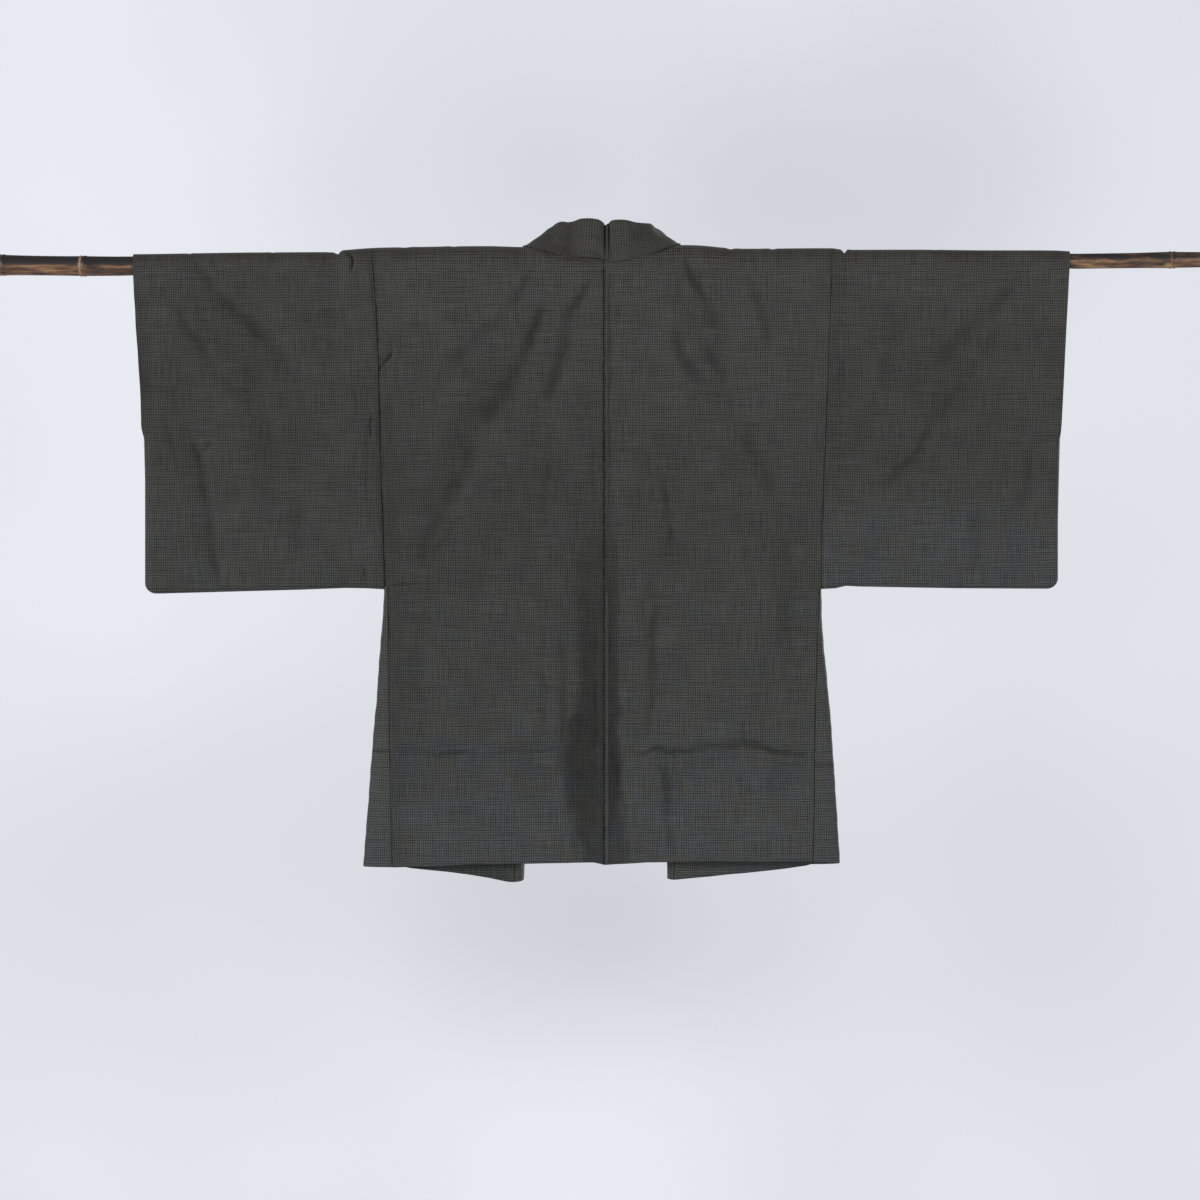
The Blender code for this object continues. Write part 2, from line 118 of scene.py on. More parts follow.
SLEEVE_BOTTOM = {
    "left": ((-650, 500), (-635, 500), (-435, 494.5), (-370, 492), (-340, 492.5), (-314, 494)),
    "right": ((311, 493.5), (330, 492.5), (345, 489), (366, 490), (500, 492.4), (623, 493), (648, 493)),
}
SLEEVE_CORNER = 15
NECK_HALF_WIDTH = {"left": 106, "right": 98}
NECK_DIP = 23
NECK_ROUNDNESS = 0.7
COLLAR_COVER = 11
COLLAR_EDGE_DIP = 27.2
FRONT_COVER = 6
COVER_FADE = 60
FOLD_RADIUS = 2.6
COLLAR_LEAD = 3
COLLAR_BEND = 0.3

# Where the collar's fold lies from its seam: rows of (length along the seam, inward, forward, up)
COLLAR_LEAN = {
    "left": (
        (0, 0, 8, 47), (12, 1, 3, 52.5), (35, 3, 4, 52), (62, 8, 14, 46), (85, 19, 25, 39),
        (100, 27, 31, 30.5), (111, 31, 34, 23), (123, 27, 36, 16), (135, 25, 43, 11), (178, 27, 49, 5),
        (430, 33, 46, 0), (720, 26, 51, 0), (1000, 13, 56, 0), (1030, 11.5, 56, 0),
    ),
    "right": (
        (0, 0, 8, 47), (12, 1, 3, 52), (33, 3, 4, 50.5), (58, 7, 14, 45.5), (79, 15, 25, 41),
        (93, 22, 31, 33.5), (104, 23, 34, 28), (116, 19, 36, 21.5), (128, 19, 43, 14), (171, 26, 49, 5),
        (423, 31, 47, 0), (720, 20, 53, 0), (960, 0, 57, 0), (1023, -6.4, 57, 0),
    ),
}

# The wide folds that the solids have: (path of (x, drop), half width, how deep)
BACK_FOLDS = (
    (((-84, 91), (-103, 142), (-160, 244), (-206, 321), (-256, 467)), 42, -4.5),
    (((-110, 60), (-190, 190), (-255, 330)), 36, 3.0),
    (((-20, 52), (-71, 186), (-88, 300), (-90, 410)), 36, -3.0),
    (((-4, 330), (-14, 500), (-18, 640), (-38, 884)), 44, -4.5),
    (((16, 420), (22, 600), (34, 740), (36, 884)), 34, -3.0),
    (((107, 26), (164, 116), (190, 220), (236, 347)), 40, -3.5),
    (((94, 98), (120, 174), (150, 260), (170, 380)), 36, 2.5),
    (((86, 347), (104, 468), (79, 540), (62, 704)), 40, -3.0),
    (((93, 741), (95, 884)), 34, -2.5),
    (((-200, 560), (-214, 740), (-230, 884)), 50, 2.5),
    (((215, 520), (228, 700), (240, 884)), 50, 2.5),
    (((-585, 40), (-549, 64), (-486, 119), (-440, 190), (-400, 290)), 42, -4.5),
    (((-627, 74), (-592, 122), (-540, 200), (-505, 320), (-490, 440)), 38, 3.0),
    (((-603, 253), (-571, 336), (-550, 480)), 36, -3.5),
    (((579, 55), (539, 105), (480, 160), (410, 230)), 42, -4.5),
    (((565, 83), (536, 169), (458, 272), (390, 365)), 38, 3.0),
    (((608, 272), (598, 353), (590, 470)), 36, -3.0),
)
FRONT_FOLDS = (
    (((-130, 70), (-185, 200), (-235, 330), (-262, 480)), 44, -4.0),
    (((-196, 330), (-200, 560), (-212, 890)), 46, 3.0),
    (((-250, 600), (-262, 890)), 40, -3.0),
    (((122, 60), (170, 170), (214, 300), (246, 450)), 42, -4.0),
    (((180, 380), (184, 620), (178, 890)), 44, 3.0),
    (((232, 560), (240, 885)), 40, -3.0),
    (((-600, 50), (-520, 150), (-430, 260), (-380, 380)), 44, -4.0),
    (((-600, 220), (-572, 340), (-560, 480)), 40, 3.0),
    (((590, 60), (520, 170), (440, 270), (380, 400)), 44, -4.0),
    (((604, 240), (580, 350), (566, 480)), 40, 3.0),
)

OUTWARD = {"left": -1, "right": 1}

# ---------------------------------------------------------------- sizes of the fine work
CLOTH_WALL = 1.3
COLLAR_WALL = 1.9
LEAST_WALL = 0.05
COLLAR_LIFT = 1.9
CENTRE_LAP = {"left": 0.3, "right": 0.8}  # how far the body panels reach past the middle of the back
BOTTOM_RADIUS = 7.0
BOTTOM_STEPS = 9
GUSSET_START = 491.5
BELOW_SLEEVE = 492
FAR = 1000  # further than any edge lies
CREASE_REACH = 2.3  # how far a crease and its banks reach, in half widths
CREASE_TIP = 0.08  # how far along its rise a crease starts
CREASE_RISE = 34  # the length in which it comes to its full depth
FLAT_TROUGH_RISE = 110
BANK_PLACE = 1.25  # where the banks beside it are highest, in half widths
BANK_WIDTH = 1.05
EDGE_STEPS = (0, 0.05, 0.17, 0.36, 0.62, 1.2, 2.2, 3.8, 6.5)  # columns of points next to a folded edge

# Creases: (path of (x, drop), half width at its two ends, how deep, banks on its two sides, how sharp:
# 0 is a round trough, 1 a crease and -1 a trough with a flat bottom)
BACK_CREASES = (
    # left panel: folds that hang from the collar's end
    (((-99, 34), (-114, 60), (-130, 85), (-146, 103), (-165, 123), (-206, 164), (-238, 188)),
     (7, 21), -1.9, (0.6, 0), 0.15),
    (((-84, 84), (-88, 96), (-97, 121), (-112, 155), (-122, 181), (-138, 206), (-158, 234), (-186, 262)),
     (9, 24), -3.1, (1.0, 0.2), 0.1),
    (((-176, 250), (-188, 284), (-196, 316), (-222, 364), (-245, 414), (-262, 470)),
     (17, 15), -1.8, (0.7, 0.2), 0.1),
    (((-112, 168), (-128, 196), (-152, 214)), (5, 7), -1.2, (0.3, 0), 0.6),
    (((-196, 332), (-212, 372), (-232, 404)), (6, 8), -1.1, (0.4, 0), 0.5),
    (((-204, 388), (-236, 434), (-250, 478)), (6, 9), -1.1, (0.4, 0), 0.5),
    (((-14, 48), (-35, 81), (-49, 103), (-54, 126), (-57, 155), (-66, 181), (-79, 213), (-87, 236)),
     (9, 16), -2.7, (0.9, 0), 0.15),
    (((-73, 268), (-82, 340), (-89, 397)), (7, 9), -1.1, (0.3, 0.2), 0.4),
    (((-14, 277), (-16, 340), (-15, 397)), (5, 6), -1.1, (0.3, 0.1), 0.5),
    (((-34, 440), (-36, 470), (-34, 484)), (7, 8), -1.2, (0.3, 0.1), 0.4),
    # beside the seam down the back
    (((-17, 420), (-16, 500), (-17, 620), (-19, 760)), (16, 20), -1.9, (0.5, 0), -1),
    (((-20, 690), (-24, 790), (-22, 900)), (20, 22), -2.0, (0.4, 0), -1),
    (((-9, 520), (-8, 650), (-10, 745), (-12, 900)), (8, 9), -1.3, (0, 0), 0.1),
    (((11, 470), (13, 600), (12, 730), (15, 800), (17, 900)), (9, 14), -2.0, (0, 0.4), -1),
    (((14, 715), (24, 770), (31, 830), (37, 900)), (7, 9), -1.7, (0, 0.8), 0.4),
    (((-60, 560), (-58, 650), (-57, 728), (-45, 786), (-36, 900)), (9, 14), -1.7, (0.8, 0), 0.2),
    (((-31, 640), (-33, 700), (-30, 760)), (6, 7), -1.0, (0.3, 0.2), 0.3),
    (((7, 60), (8, 200), (7, 330)), (5, 6), -1.6, (0, 0.4), 0.3),
    # where it was folded for storage
    (((-316, 724), (-298, 725), (-280, 727), (-234, 729), (-180, 728)), (5, 6), -2.2, (0.7, 0.5), 0.6),
    (((-212, 729), (-130, 726), (-52, 722)), (6, 5), -1.5, (0.4, 0.3), 0.4),
    (((-150, 716), (-100, 714), (-60, 716)), (8, 8), -0.9, (0.3, 0.3), 0.2),
    (((31, 731), (60, 728), (77, 723), (96, 727), (150, 722), (208, 718), (262, 728), (325, 732)),
     (6, 6.5), -2.5, (0.9, 0.7), 0.5),
    (((96, 722), (150, 716), (200, 713), (252, 721)), (8, 9), -1.2, (0.3, 0), 0.2),
    (((226, 737), (258, 744), (290, 745), (325, 744)), (4, 4), -1.3, (0.3, 0.2), 0.7),
    (((-307, 497), (-180, 500), (-20, 500)), (4, 4), -0.5, (0.2, 0.1), 0.7),
    (((-316, 490.5), (-299, 489), (-286, 487.6), (-257, 485.3), (-238, 486)),
     (3.4, 3), -2.6, (0.6, 0.4), 0.6),
    (((-325, 189), (-318, 180), (-308, 166), (-301, 152)), (3.8, 4.4), -4.0, (0.8, 0.2), 0.4),
    (((-309, 498), (-303, 560), (-307, 640)), (7, 8), -0.8, (0.3, 0.3), 0.3),
    (((-296, 506), (-262, 520), (-240, 548)), (5, 7), -1.0, (0.4, 0), 0.4),
    (((300, 500), (268, 512), (240, 540)), (5, 7), -1.1, (0, 0.4), 0.4),
    (((304, 470), (276, 452), (262, 430)), (4, 6), -0.9, (0.3, 0.2), 0.4),
    (((-176, 722), (-174, 745), (-172, 760)), (7, 7), -1.3, (0.4, 0.3), 0.4),
    (((-90, 578), (-86, 650), (-90, 710)), (8, 8), -1.1, (0.3, 0.3), 0.3),
    (((-212, 90), (-198, 150), (-188, 210)), (16, 18), -0.9, (0.3, 0.3), 0.1),
    (((-262, 520), (-268, 620), (-256, 700)), (16, 20), -1.0, (0.3, 0.4), 0.1),
    # right panel
    (((104, 18), (130, 58), (152, 99), (166, 132)), (8, 14), -3.3, (0, 1.1), 0.3),
    (((133, 131), (160, 175), (182, 198)), (12, 15), -2.0, (0, 0.8), 0.2),
    (((192, 265), (219, 311), (246, 369)), (14, 19), -2.4, (0, 1.0), 0.15),
    (((102, 120), (110, 162), (146, 211)), (12, 17), -2.6, (0, 0.9), 0.2),
    (((200, 35), (219, 81), (232, 131), (236, 166)), (11, 14), -1.5, (0, 0.6), 0.2),
    (((80, 311), (90, 378), (101, 460)), (8, 10), -1.8, (0, 0.6), 0.4),
    (((81, 507), (69, 551), (69, 633), (59, 706)), (11, 12), -2.1, (0.4, 0.6), 0.25),
    (((86, 733), (90, 787), (96, 877)), (9, 12), -2.2, (0.9, 0), 0.35),
    (((262, 420), (256, 520), (266, 640)), (18, 20), -1.1, (0.4, 0.3), 0.1),
    # left sleeve
    (((-588, 22), (-570, 49), (-540, 84), (-510, 110), (-480, 138), (-461, 158), (-448, 186)),
     (12, 17), -2.3, (0.2, 0.8), 0.2),
    (((-633, 70), (-610, 94), (-595, 125), (-575, 142), (-562, 174), (-530, 209), (-512, 227)),
     (10, 16), -1.8, (0, 0.5), 0.15),
    (((-598, 262), (-579, 308), (-566, 379), (-558, 441), (-550, 491)), (10, 13), -2.2, (0.1, 0.8), 0.3),
    (((-578, 308), (-569, 296), (-559, 281)), (5, 6), -1.5, (0.3, 0.3), 0.4),
    (((-508, 150), (-490, 240), (-470, 330)), (20, 24), -1.2, (0.4, 0.4), 0.1),
    (((-430, 330), (-440, 400), (-436, 470)), (18, 20), -1.0, (0.4, 0.4), 0.1),
    (((-634, 222), (-619, 281), (-610, 318)), (8, 8), -1.3, (0, 0.4), 0.3),
    (((-549, 262), (-520, 267)), (4, 4), -0.9, (0.3, 0), 0.7),
    (((-672, 70), (-667, 160), (-660, 262)), (36, 34), -4.5, (0, 0), 0.0),
    (((-359, 206), (-354, 224), (-347, 235)), (4, 4), -1.5, (0.4, 0), 0.5),
    (((-346, 458), (-344, 473), (-341, 489)), (3.6, 3.8), -4.0, (0.6, 0), 0.3),
    (((-334, 236), (-332, 250), (-335, 262), (-333, 271), (-337, 284)), (3, 3.4), -2.6, (0.5, 0), 0.5),
    (((-341, 262), (-338, 300), (-339, 372)), (5, 5), -1.0, (0.2, 0.2), 0.3),
    (((-330, 340), (-331, 380)), (3, 3), -1.0, (0.2, 0), 0.4),
    # right sleeve
    (((583, 56), (566, 81), (539, 108), (508, 135), (485, 162), (453, 189), (435, 227)),
     (13, 19), -1.7, (0.6, 0.1), 0.15),
    (((566, 112), (539, 162), (503, 206), (476, 248), (458, 272), (445, 302), (418, 329), (388, 364)),
     (12, 17), -1.5, (0.5, 0.1), 0.15),
    (((474, 252), (458, 272), (444, 302), (416, 331), (396, 354)), (8, 11), -2.2, (0.7, 0), 0.4),
    (((606, 275), (605, 329), (589, 392)), (11, 12), -1.3, (0, 0.5), 0.2),
    (((486, 156), (476, 176), (444, 190)), (7, 8), -1.0, (0.3, 0), 0.3),
    (((420, 90), (404, 160), (398, 220)), (18, 20), -1.1, (0.4, 0.4), 0.1),
    (((540, 360), (528, 420), (530, 480)), (18, 20), -1.0, (0.4, 0.4), 0.1),
)
FRONT_CREASES = (
    (((-124, 56), (-150, 120), (-182, 196), (-214, 282), (-236, 372)), (8, 16), -2.4, (0, 1.0), 0.5),
    (((-140, 40), (-188, 92), (-236, 150), (-286, 204)), (7, 12), -1.4, (0, 0.6), 0.4),
    (((-160, 238), (-176, 330), (-180, 430)), (5, 7), -1.2, (0, 0.4), 0.6),
    (((-266, 420), (-250, 520), (-240, 640)), (8, 9), -1.3, (0.4, 0.2), 0.4),
    (((-168, 590), (-160, 700), (-150, 860)), (7, 9), -1.3, (0.3, 0.4), 0.4),
    (((-303, 731), (-230, 728), (-136, 733)), (4, 4), -1.0, (0.4, 0.4), 0.8),
    (((-300, 503), (-240, 499), (-132, 501)), (4, 4), -0.5, (0.2, 0.1), 0.7),
    (((118, 50), (148, 110), (178, 190), (206, 280), (222, 360)), (8, 15), -2.3, (1.0, 0), 0.5),
    (((140, 36), (190, 96), (240, 150), (288, 190)), (7, 12), -1.3, (0.6, 0), 0.4),
    (((150, 262), (160, 350), (158, 452)), (5, 7), -1.2, (0.3, 0.2), 0.6),
    (((252, 430), (236, 540), (230, 650)), (8, 9), -1.3, (0.3, 0.3), 0.4),
    (((140, 610), (134, 720), (128, 870)), (7, 8), -1.2, (0.2, 0.4), 0.4),
    (((104, 727), (180, 731), (250, 726), (300, 730)), (4, 4), -1.1, (0.4, 0.4), 0.8),
    (((-596, 30), (-556, 84), (-506, 138), (-470, 196)), (6, 9), -1.9, (0.8, 0), 0.6),
    (((-628, 120), (-598, 196), (-560, 268), (-520, 320)), (6, 9), -1.3, (0.5, 0), 0.4),
    (((-590, 300), (-574, 380), (-560, 486)), (5, 7), -1.6, (0.6, 0), 0.6),
    (((-430, 250), (-446, 330), (-440, 420)), (7, 8), -0.9, (0.2, 0.2), 0.3),
    (((-362, 170), (-358, 260), (-352, 350)), (4, 5), -0.9, (0.2, 0.2), 0.6),
    (((588, 34), (548, 92), (500, 142), (462, 204)), (6, 9), -1.9, (0, 0.8), 0.6),
    (((620, 130), (588, 204), (548, 282), (500, 340)), (6, 9), -1.3, (0, 0.5), 0.4),
    (((582, 310), (568, 390), (556, 482)), (5, 7), -1.5, (0, 0.6), 0.6),
    (((420, 240), (430, 330), (424, 420)), (7, 8), -0.9, (0.2, 0.2), 0.3),
    (((352, 150), (350, 250), (344, 340)), (4, 5), -0.9, (0.2, 0.2), 0.6),
)

# Small tucks that run over the ridge: the drop is negative on the front
RIDGE_TUCKS = (
    (((-385, -26), (-382, 0), (-376, 16)), (6, 6), -4.6, (0, 1.2), 0.4),
    (((-374, 4), (-366, 13), (-361, 19), (-359, 26), (-360, 37), (-361, 48)),
     (4.5, 4), -3.2, (0.9, 0.6), 0.5),
    (((-403, 2), (-398, 22), (-402, 44)), (4, 5), -0.8, (0.2, 0), 0.4),
    (((341, -24), (343, 0), (343, 20)), (6, 5), -4.6, (0.5, 0.5), 0.4),
    (((353, 2), (358, 16), (356, 30)), (4, 4), -1.2, (0.3, 0.3), 0.4),
    (((-596, -10), (-592, 8), (-586, 30)), (4, 5), -0.8, (0, 0.2), 0.5),
    (((-18, 40), (-6, 38), (4, 42)), (4, 4), -0.3, (0, 0), 0.3),
    (((183, -30), (180, 0), (174, 26)), (7, 8), -1.5, (0, 0.3), 0.3),
    (((236, -34), (240, 0), (246, 30)), (6, 8), -0.9, (0.3, 0), 0.3),
    (((-210, -30), (-214, 0), (-222, 34)), (7, 9), -0.9, (0.3, 0), 0.3),
    (((-290, -24), (-286, 0), (-280, 26)), (9, 9), -0.5, (0, 0.2), 0.2),
    (((470, -26), (474, 0), (470, 30)), (5, 6), -0.5, (0, 0.2), 0.3),
    (((-470, -20), (-474, 0), (-470, 24)), (5, 6), -0.5, (0.2, 0), 0.3),
)

# How much darker the cloth is made, by drop: it is darker half way down
DARKER_BY_DROP = {
    "body_left": (
        (90, 0), (150, 0.05), (215, 0.1), (290, 0.16), (470, 0.18), (520, 0.11), (650, 0.09), (760, 0.13),
        (800, 0.05), (840, 0),
    ),
    "body_right": (
        (120, 0), (180, 0.03), (250, 0.05), (300, 0.12), (470, 0.13), (520, 0.08), (650, 0.06), (760, 0.09),
        (800, 0.03), (840, 0),
    ),
    "sleeve_left": ((0, 0.05), (60, 0.12), (190, 0.16), (320, 0.16), (370, 0.12)),
    "sleeve_right": ((0, 0), (60, 0.06), (110, 0.08), (150, 0.13), (300, 0.15), (350, 0.1), (500, 0.05)),
}

# Painted shade in the gutter beside the seam down the back: rows of (drop, how dark, how wide)
GUTTER_SHADE = {
    "left": (
        (330, 0, 12), (400, 0.12, 18), (450, 0.26, 38), (500, 0.36, 42), (560, 0.48, 38), (650, 0.55, 40),
        (690, 0.6, 54), (780, 0.61, 58), (820, 0.6, 46), (860, 0.5, 36), (890, 0.38, 30),
    ),
    "right": (
        (300, 0, 10), (400, 0.18, 18), (450, 0.3, 20), (510, 0.48, 21), (650, 0.56, 22), (700, 0.66, 23),
        (790, 0.64, 25), (820, 0.5, 28), (850, 0.42, 31), (890, 0.32, 32),
    ),
}

# How much lower the collar's free edge lies than on its smooth curve, by x
EDGE_WAVER = ((-90, 0), (-60, -0.6), (-38, -2.6), (-8, -3.2), (0, -1), (8, 1.6), (20, 1.8), (40, 0), (90, 0))

# Height added to the collar, by x: two lobes with a notch between them and straight flanks
RIM_LIFT = (
    (-118, 0.6), (-108, 3.0), (-97, 3.4), (-89, 2.9), (-80, 0.5), (-73, -2.0), (-66, -1.2), (-60, -0.6),
    (-52, -1.4), (-44, -1.2), (-38, -0.2), (-32, 0.2), (-22, -0.2), (-10, 0), (-5, 0.9), (-1, 1.2),
    (3.3, -2.2), (7, -0.6), (12, 0.2), (24, -0.2), (31, -0.6), (40, -1.6), (49, -1.0), (57, -1.6),
    (66, -3.6), (74, -5.3), (82, -5.2), (88, -2.9), (93, -0.2), (100, 1.5), (109, 0.3), (117, 0.1),
)

# Humps of the collar's outer side by the pinch: (x, half width, height, how much of it is left low down)
COLLAR_HUMPS = (
    (0.8, 2.7, -2.6, 0.3), (3.5, 1.8, 0.9, 0.4), (6.5, 2.5, -2.4, 0.3), (3.3, 11, -1.6, 0),
    (-21, 21, 2.6, 0), (27, 20, 2.6, 0), (-50, 17, -4.2, 0.4), (53, 18, -3.6, 0.4), (-79, 13, 1.6, 1),
    (82, 13, 1.4, 1),
)

# The silk's check, across and down, and the width of its uneven threads and how long they stay the same
CHECK = (3.2, 3.7)
SLUB_WIDTH = 1.8 * MM
WARP_SLUB = 42 * MM
WEFT_SLUB = 60 * MM


# ---------------------------------------------------------------- small helpers
def straight(rows, at):
    """A table's second column at places between its rows, on straight lines."""
    table = np.array(rows, float)
    return np.interp(at, table[:, 0], table[:, 1])


def smooth(rows, at):
    """A table's other columns at places between its rows, on a smooth curve through them."""
    table = np.array(rows, float)
    at = np.clip(np.asarray(at, float), table[0, 0], table[-1, 0])
    i = np.clip(np.searchsorted(table[:, 0], at, side="right") - 1, 0, len(table) - 2)
    before, low, high, after = (table[np.clip(i + k, 0, len(table) - 1)] for k in (-1, 0, 1, 2))
    step = high[..., :1] - low[..., :1]
    t = (at[..., None] - low[..., :1]) / step
    start = (high - before) / (high[..., :1] - before[..., :1]) * step
    end = (after - low) / (after[..., :1] - low[..., :1]) * step
    value = (
        low * (2 * t**3 - 3 * t**2 + 1)
        + start * (t**3 - 2 * t**2 + t)
        + high * (3 * t**2 - 2 * t**3)
        + end * (t**3 - t**2)
    )
    return value[..., 1:]


def ease(share):
    """0 below 0, 1 above 1 and a soft step between."""
    share = np.clip(share, 0, 1)
    return share * share * (3 - 2 * share)


def ripple(place, seed, longest, shortest):
    """A soft uneven wave between -1 and 1 along a line, made of waves of a few lengths."""
    rng = np.random.default_rng(seed)
    wave = 0
    for length in np.geomspace(longest, shortest, 5):
        wave = wave + np.sin(place / length * 2 * math.pi * rng.uniform(0.8, 1.2) + rng.uniform(0, 6.28))
    return wave / 3.2


def billow(x, drop, seed, longest, shortest):
    """A soft uneven swell between about -1 and 1 over a face of cloth."""
    rng = np.random.default_rng(seed)
    swell = 0
    for length in np.geomspace(longest, shortest, 9):
        turn = rng.uniform(0, math.pi)
        along = x * math.cos(turn) + drop * math.sin(turn)
        swell = swell + np.sin(along / length * 2 * math.pi + rng.uniform(0, 6.28))
    return swell / 4


def rounded(path, pieces=6):
    """A path with points added on a smooth curve through its own."""
    points = np.array(path, float)
    rows = np.column_stack([np.arange(len(points)), points])
    return smooth(rows, np.linspace(0, len(points) - 1, (len(points) - 1) * pieces + 1))


def nearest_on(path, x, drop):
    """Signed distance from a path, distance along it and the path's length, for each place."""
    best = np.full(x.shape, 1e9)
    side = np.zeros(x.shape)
    along = np.zeros(x.shape)
    passed = 0
    for a, b in zip(path, path[1:]):
        step = b - a
        length = math.hypot(*step)
        if length == 0:
            continue
        share = np.clip(((x - a[0]) * step[0] + (drop - a[1]) * step[1]) / length**2, 0, 1)
        off_x = x - a[0] - share * step[0]
        off_drop = drop - a[1] - share * step[1]
        away = np.hypot(off_x, off_drop)
        nearer = away < best
        best = np.where(nearer, away, best)
        along = np.where(nearer, passed + share * length, along)
        side = np.where(nearer, np.sign(step[1] * off_x - step[0] * off_drop), side)
        passed += length
    return best * side, along, passed


def near(path, reach, x, drop):
    """Which places lie in the box round a path."""
    low, high = path.min(0) - reach, path.max(0) + reach
    return (x > low[0]) & (x < high[0]) & (drop > low[1]) & (drop < high[1])


def hill(share):
    """1 at 0, and down to 0 at 1 and -1."""
    return np.clip(1 - share * share, 0, None) ** 2


def wide_folds(folds, x, drop):
    """How far the folds that the solids have move the cloth outward."""
    moved = np.zeros(x.shape)
    for path, half_width, deep in folds:
        path = np.array(path, float)
        inside = near(path, half_width, x, drop)
        away, along, length = nearest_on(path, x[inside], drop[inside])
        ends = ease(along / FOLD_RISE + FOLD_TIP) * ease((length - along) / FOLD_FALL + FOLD_TIP)
        moved[inside] += deep * hill(away / half_width) * ends
    return moved


def creases(table, x, drop):
    """How far the fine folds move the cloth outward, and the painted shade in their troughs, 0 to 1."""
    moved = np.zeros(x.shape)
    hollow = np.zeros(x.shape)
    for points, widths, deep, banks, sharp in table:
        path = rounded(points)
        inside = near(path, max(widths) * CREASE_REACH, x, drop)
        if not inside.any():
            continue
        side, along, length = nearest_on(path, x[inside], drop[inside])
        width = widths[0] + (widths[1] - widths[0]) * (along / length)
        off = side / width
        if sharp < 0:
            core = ease((1 - abs(off)) / 0.8)
        else:
            core = sharp * np.clip(1 - abs(off), 0, None) ** 2 + (1 - sharp) * hill(off)
        rise = min(CREASE_RISE if sharp >= 0 else FLAT_TROUGH_RISE, length * 0.35)
        ends = ease(along / rise + CREASE_TIP) * ease((length - along) / rise + CREASE_TIP)
        bank = banks[0] * hill((off + BANK_PLACE) / BANK_WIDTH)
        bank += banks[1] * hill((off - BANK_PLACE) / BANK_WIDTH)
        phase = points[0][0] * 0.37
        uneven = 1 + 0.34 * np.sin(along / 23.0 + phase) + 0.2 * np.sin(along / 9.1 + 2 * phase)
        moved[inside] += (deep * core * uneven + bank) * ends
        # Painted shade along the bottom of each trough
        if deep < 0:
            strength = min(0.6, 0.06 - deep / 7) * np.clip(1.15 - width / 46, 0.5, 1)
            hollow[inside] = np.maximum(hollow[inside], strength * core * ends * uneven)
    return moved, hollow


# ---------------------------------------------------------------- where the hanging cloth lies
def pole_radius(x):
    return POLE_RADIUS - POLE_TAPER * x


def pole_height(x):
    slope = POLE_SLOPE * np.clip(x, -POLE_STRAIGHT_FROM, POLE_STRAIGHT_FROM)
    return slope + smooth(POLE_SAG, x)[..., 0]


def saddle_radius(x):
    """From the pole's axis to the middle of the cloth that lies over it."""
    return pole_radius(x) + smooth(STAND_OFF, x)[..., 0] + SOLID_WALL / 2


def saddle_angle(x, drop):
    """Angle around the pole from its top; a right angle where the cloth starts to hang free."""
    return np.clip(drop / (RIDGE_LEVEL - pole_height(x)), 0, 1) * math.pi / 2


def cloth_place(x, drop, turn, out=0.0, calm=1.0):
    """Points of the middle of the hanging cloth. turn is -1 on the back and 1 on the front."""
    x, drop = np.broadcast_arrays(np.asarray(x, float), np.asarray(drop, float))
    radius = saddle_radius(x)
    height = pole_height(x)
    angle = saddle_angle(x, drop)
    below = drop - RIDGE_LEVEL + height
    share = np.clip(below / HANG_LENGTH, 0, 1)
    gap = HANG_GAP + (radius - HANG_GAP) * (1 - share**2) ** 2
    folds = BACK_FOLDS if turn < 0 else FRONT_FOLDS
    gap = gap + wide_folds(folds, x, drop) * calm * ease(below / FOLD_FADE)
    hanging = below > 0
    y = np.where(hanging, gap + out, (radius + out) * np.sin(angle))
    z = np.where(hanging, RIDGE_LEVEL - drop, height + (radius + out) * np.cos(angle))
    return np.stack([x, turn * y, z], axis=-1)


def cloth_normal(x, drop, turn):
    angle = saddle_angle(x, drop)
    return np.stack([0 * angle, turn * np.sin(angle), np.cos(angle)], axis=-1)


def neck_drop(x, side):
    """Drop of the back neck's seam."""
    share = np.clip(1 - (x / NECK_HALF_WIDTH[side]) ** 2, 0, 1)
    return NECK_DIP * share**NECK_ROUNDNESS


def collar_edge_drop(x, side):
    """Drop of the collar's free edge on the back."""
    uncovered = np.clip(1 - (x / (NECK_HALF_WIDTH[side] + COLLAR_COVER)) ** 2, 0, 1)
    return COLLAR_EDGE_DIP * uncovered**NECK_ROUNDNESS + straight(EDGE_WAVER, x)


def fine_work(x, drop, turn, seed):
    """Creases, tucks and the cloth's small swells: how far they move it outward, and the painted shade in
    their troughs.
    """
    # Lines in cloth waver, so places are looked up a little off their own
    off_x = 1.9 * billow(x, drop, seed + 21, 80, 17)
    off_drop = 1.9 * billow(x, drop, seed + 33, 80, 17)
    moved, hollow = creases(BACK_CREASES if turn < 0 else FRONT_CREASES, x + off_x, drop + off_drop)
    over, over_shade = creases(RIDGE_TUCKS, x + off_x * 0.3, drop * -turn)
    hang = ease((drop - 20) / 60)
    moved = moved * ease((drop - 16) / 16) + over
    moved = moved + hang * (0.55 * billow(x, drop, seed, 260, 50) + 0.16 * billow(x, drop, seed + 7, 46, 17))
    return moved, np.maximum(hollow * ease((drop - 16) / 16), over_shade)


# ---------------------------------------------------------------- cloth in general
def spaced(length, step, zones=(), fine_start=True, fine_end=True):
    """Shares of a length, from 0 to 1. Zones are (from, to, smaller step)."""
    places = list(EDGE_STEPS) if fine_start else [0.0]
    last = [length - d for d in EDGE_STEPS[::-1]] if fine_end else [length]
    while places[-1] < last[0]:
        fine = [small for start, end, small in zones if start <= places[-1] < end]
        places.append(places[-1] + min([step, *fine]))
    while last[0] - places[-1] < 0.6 * (places[-1] - places[-2]):
        places.pop()
    return np.array(places + last) / length


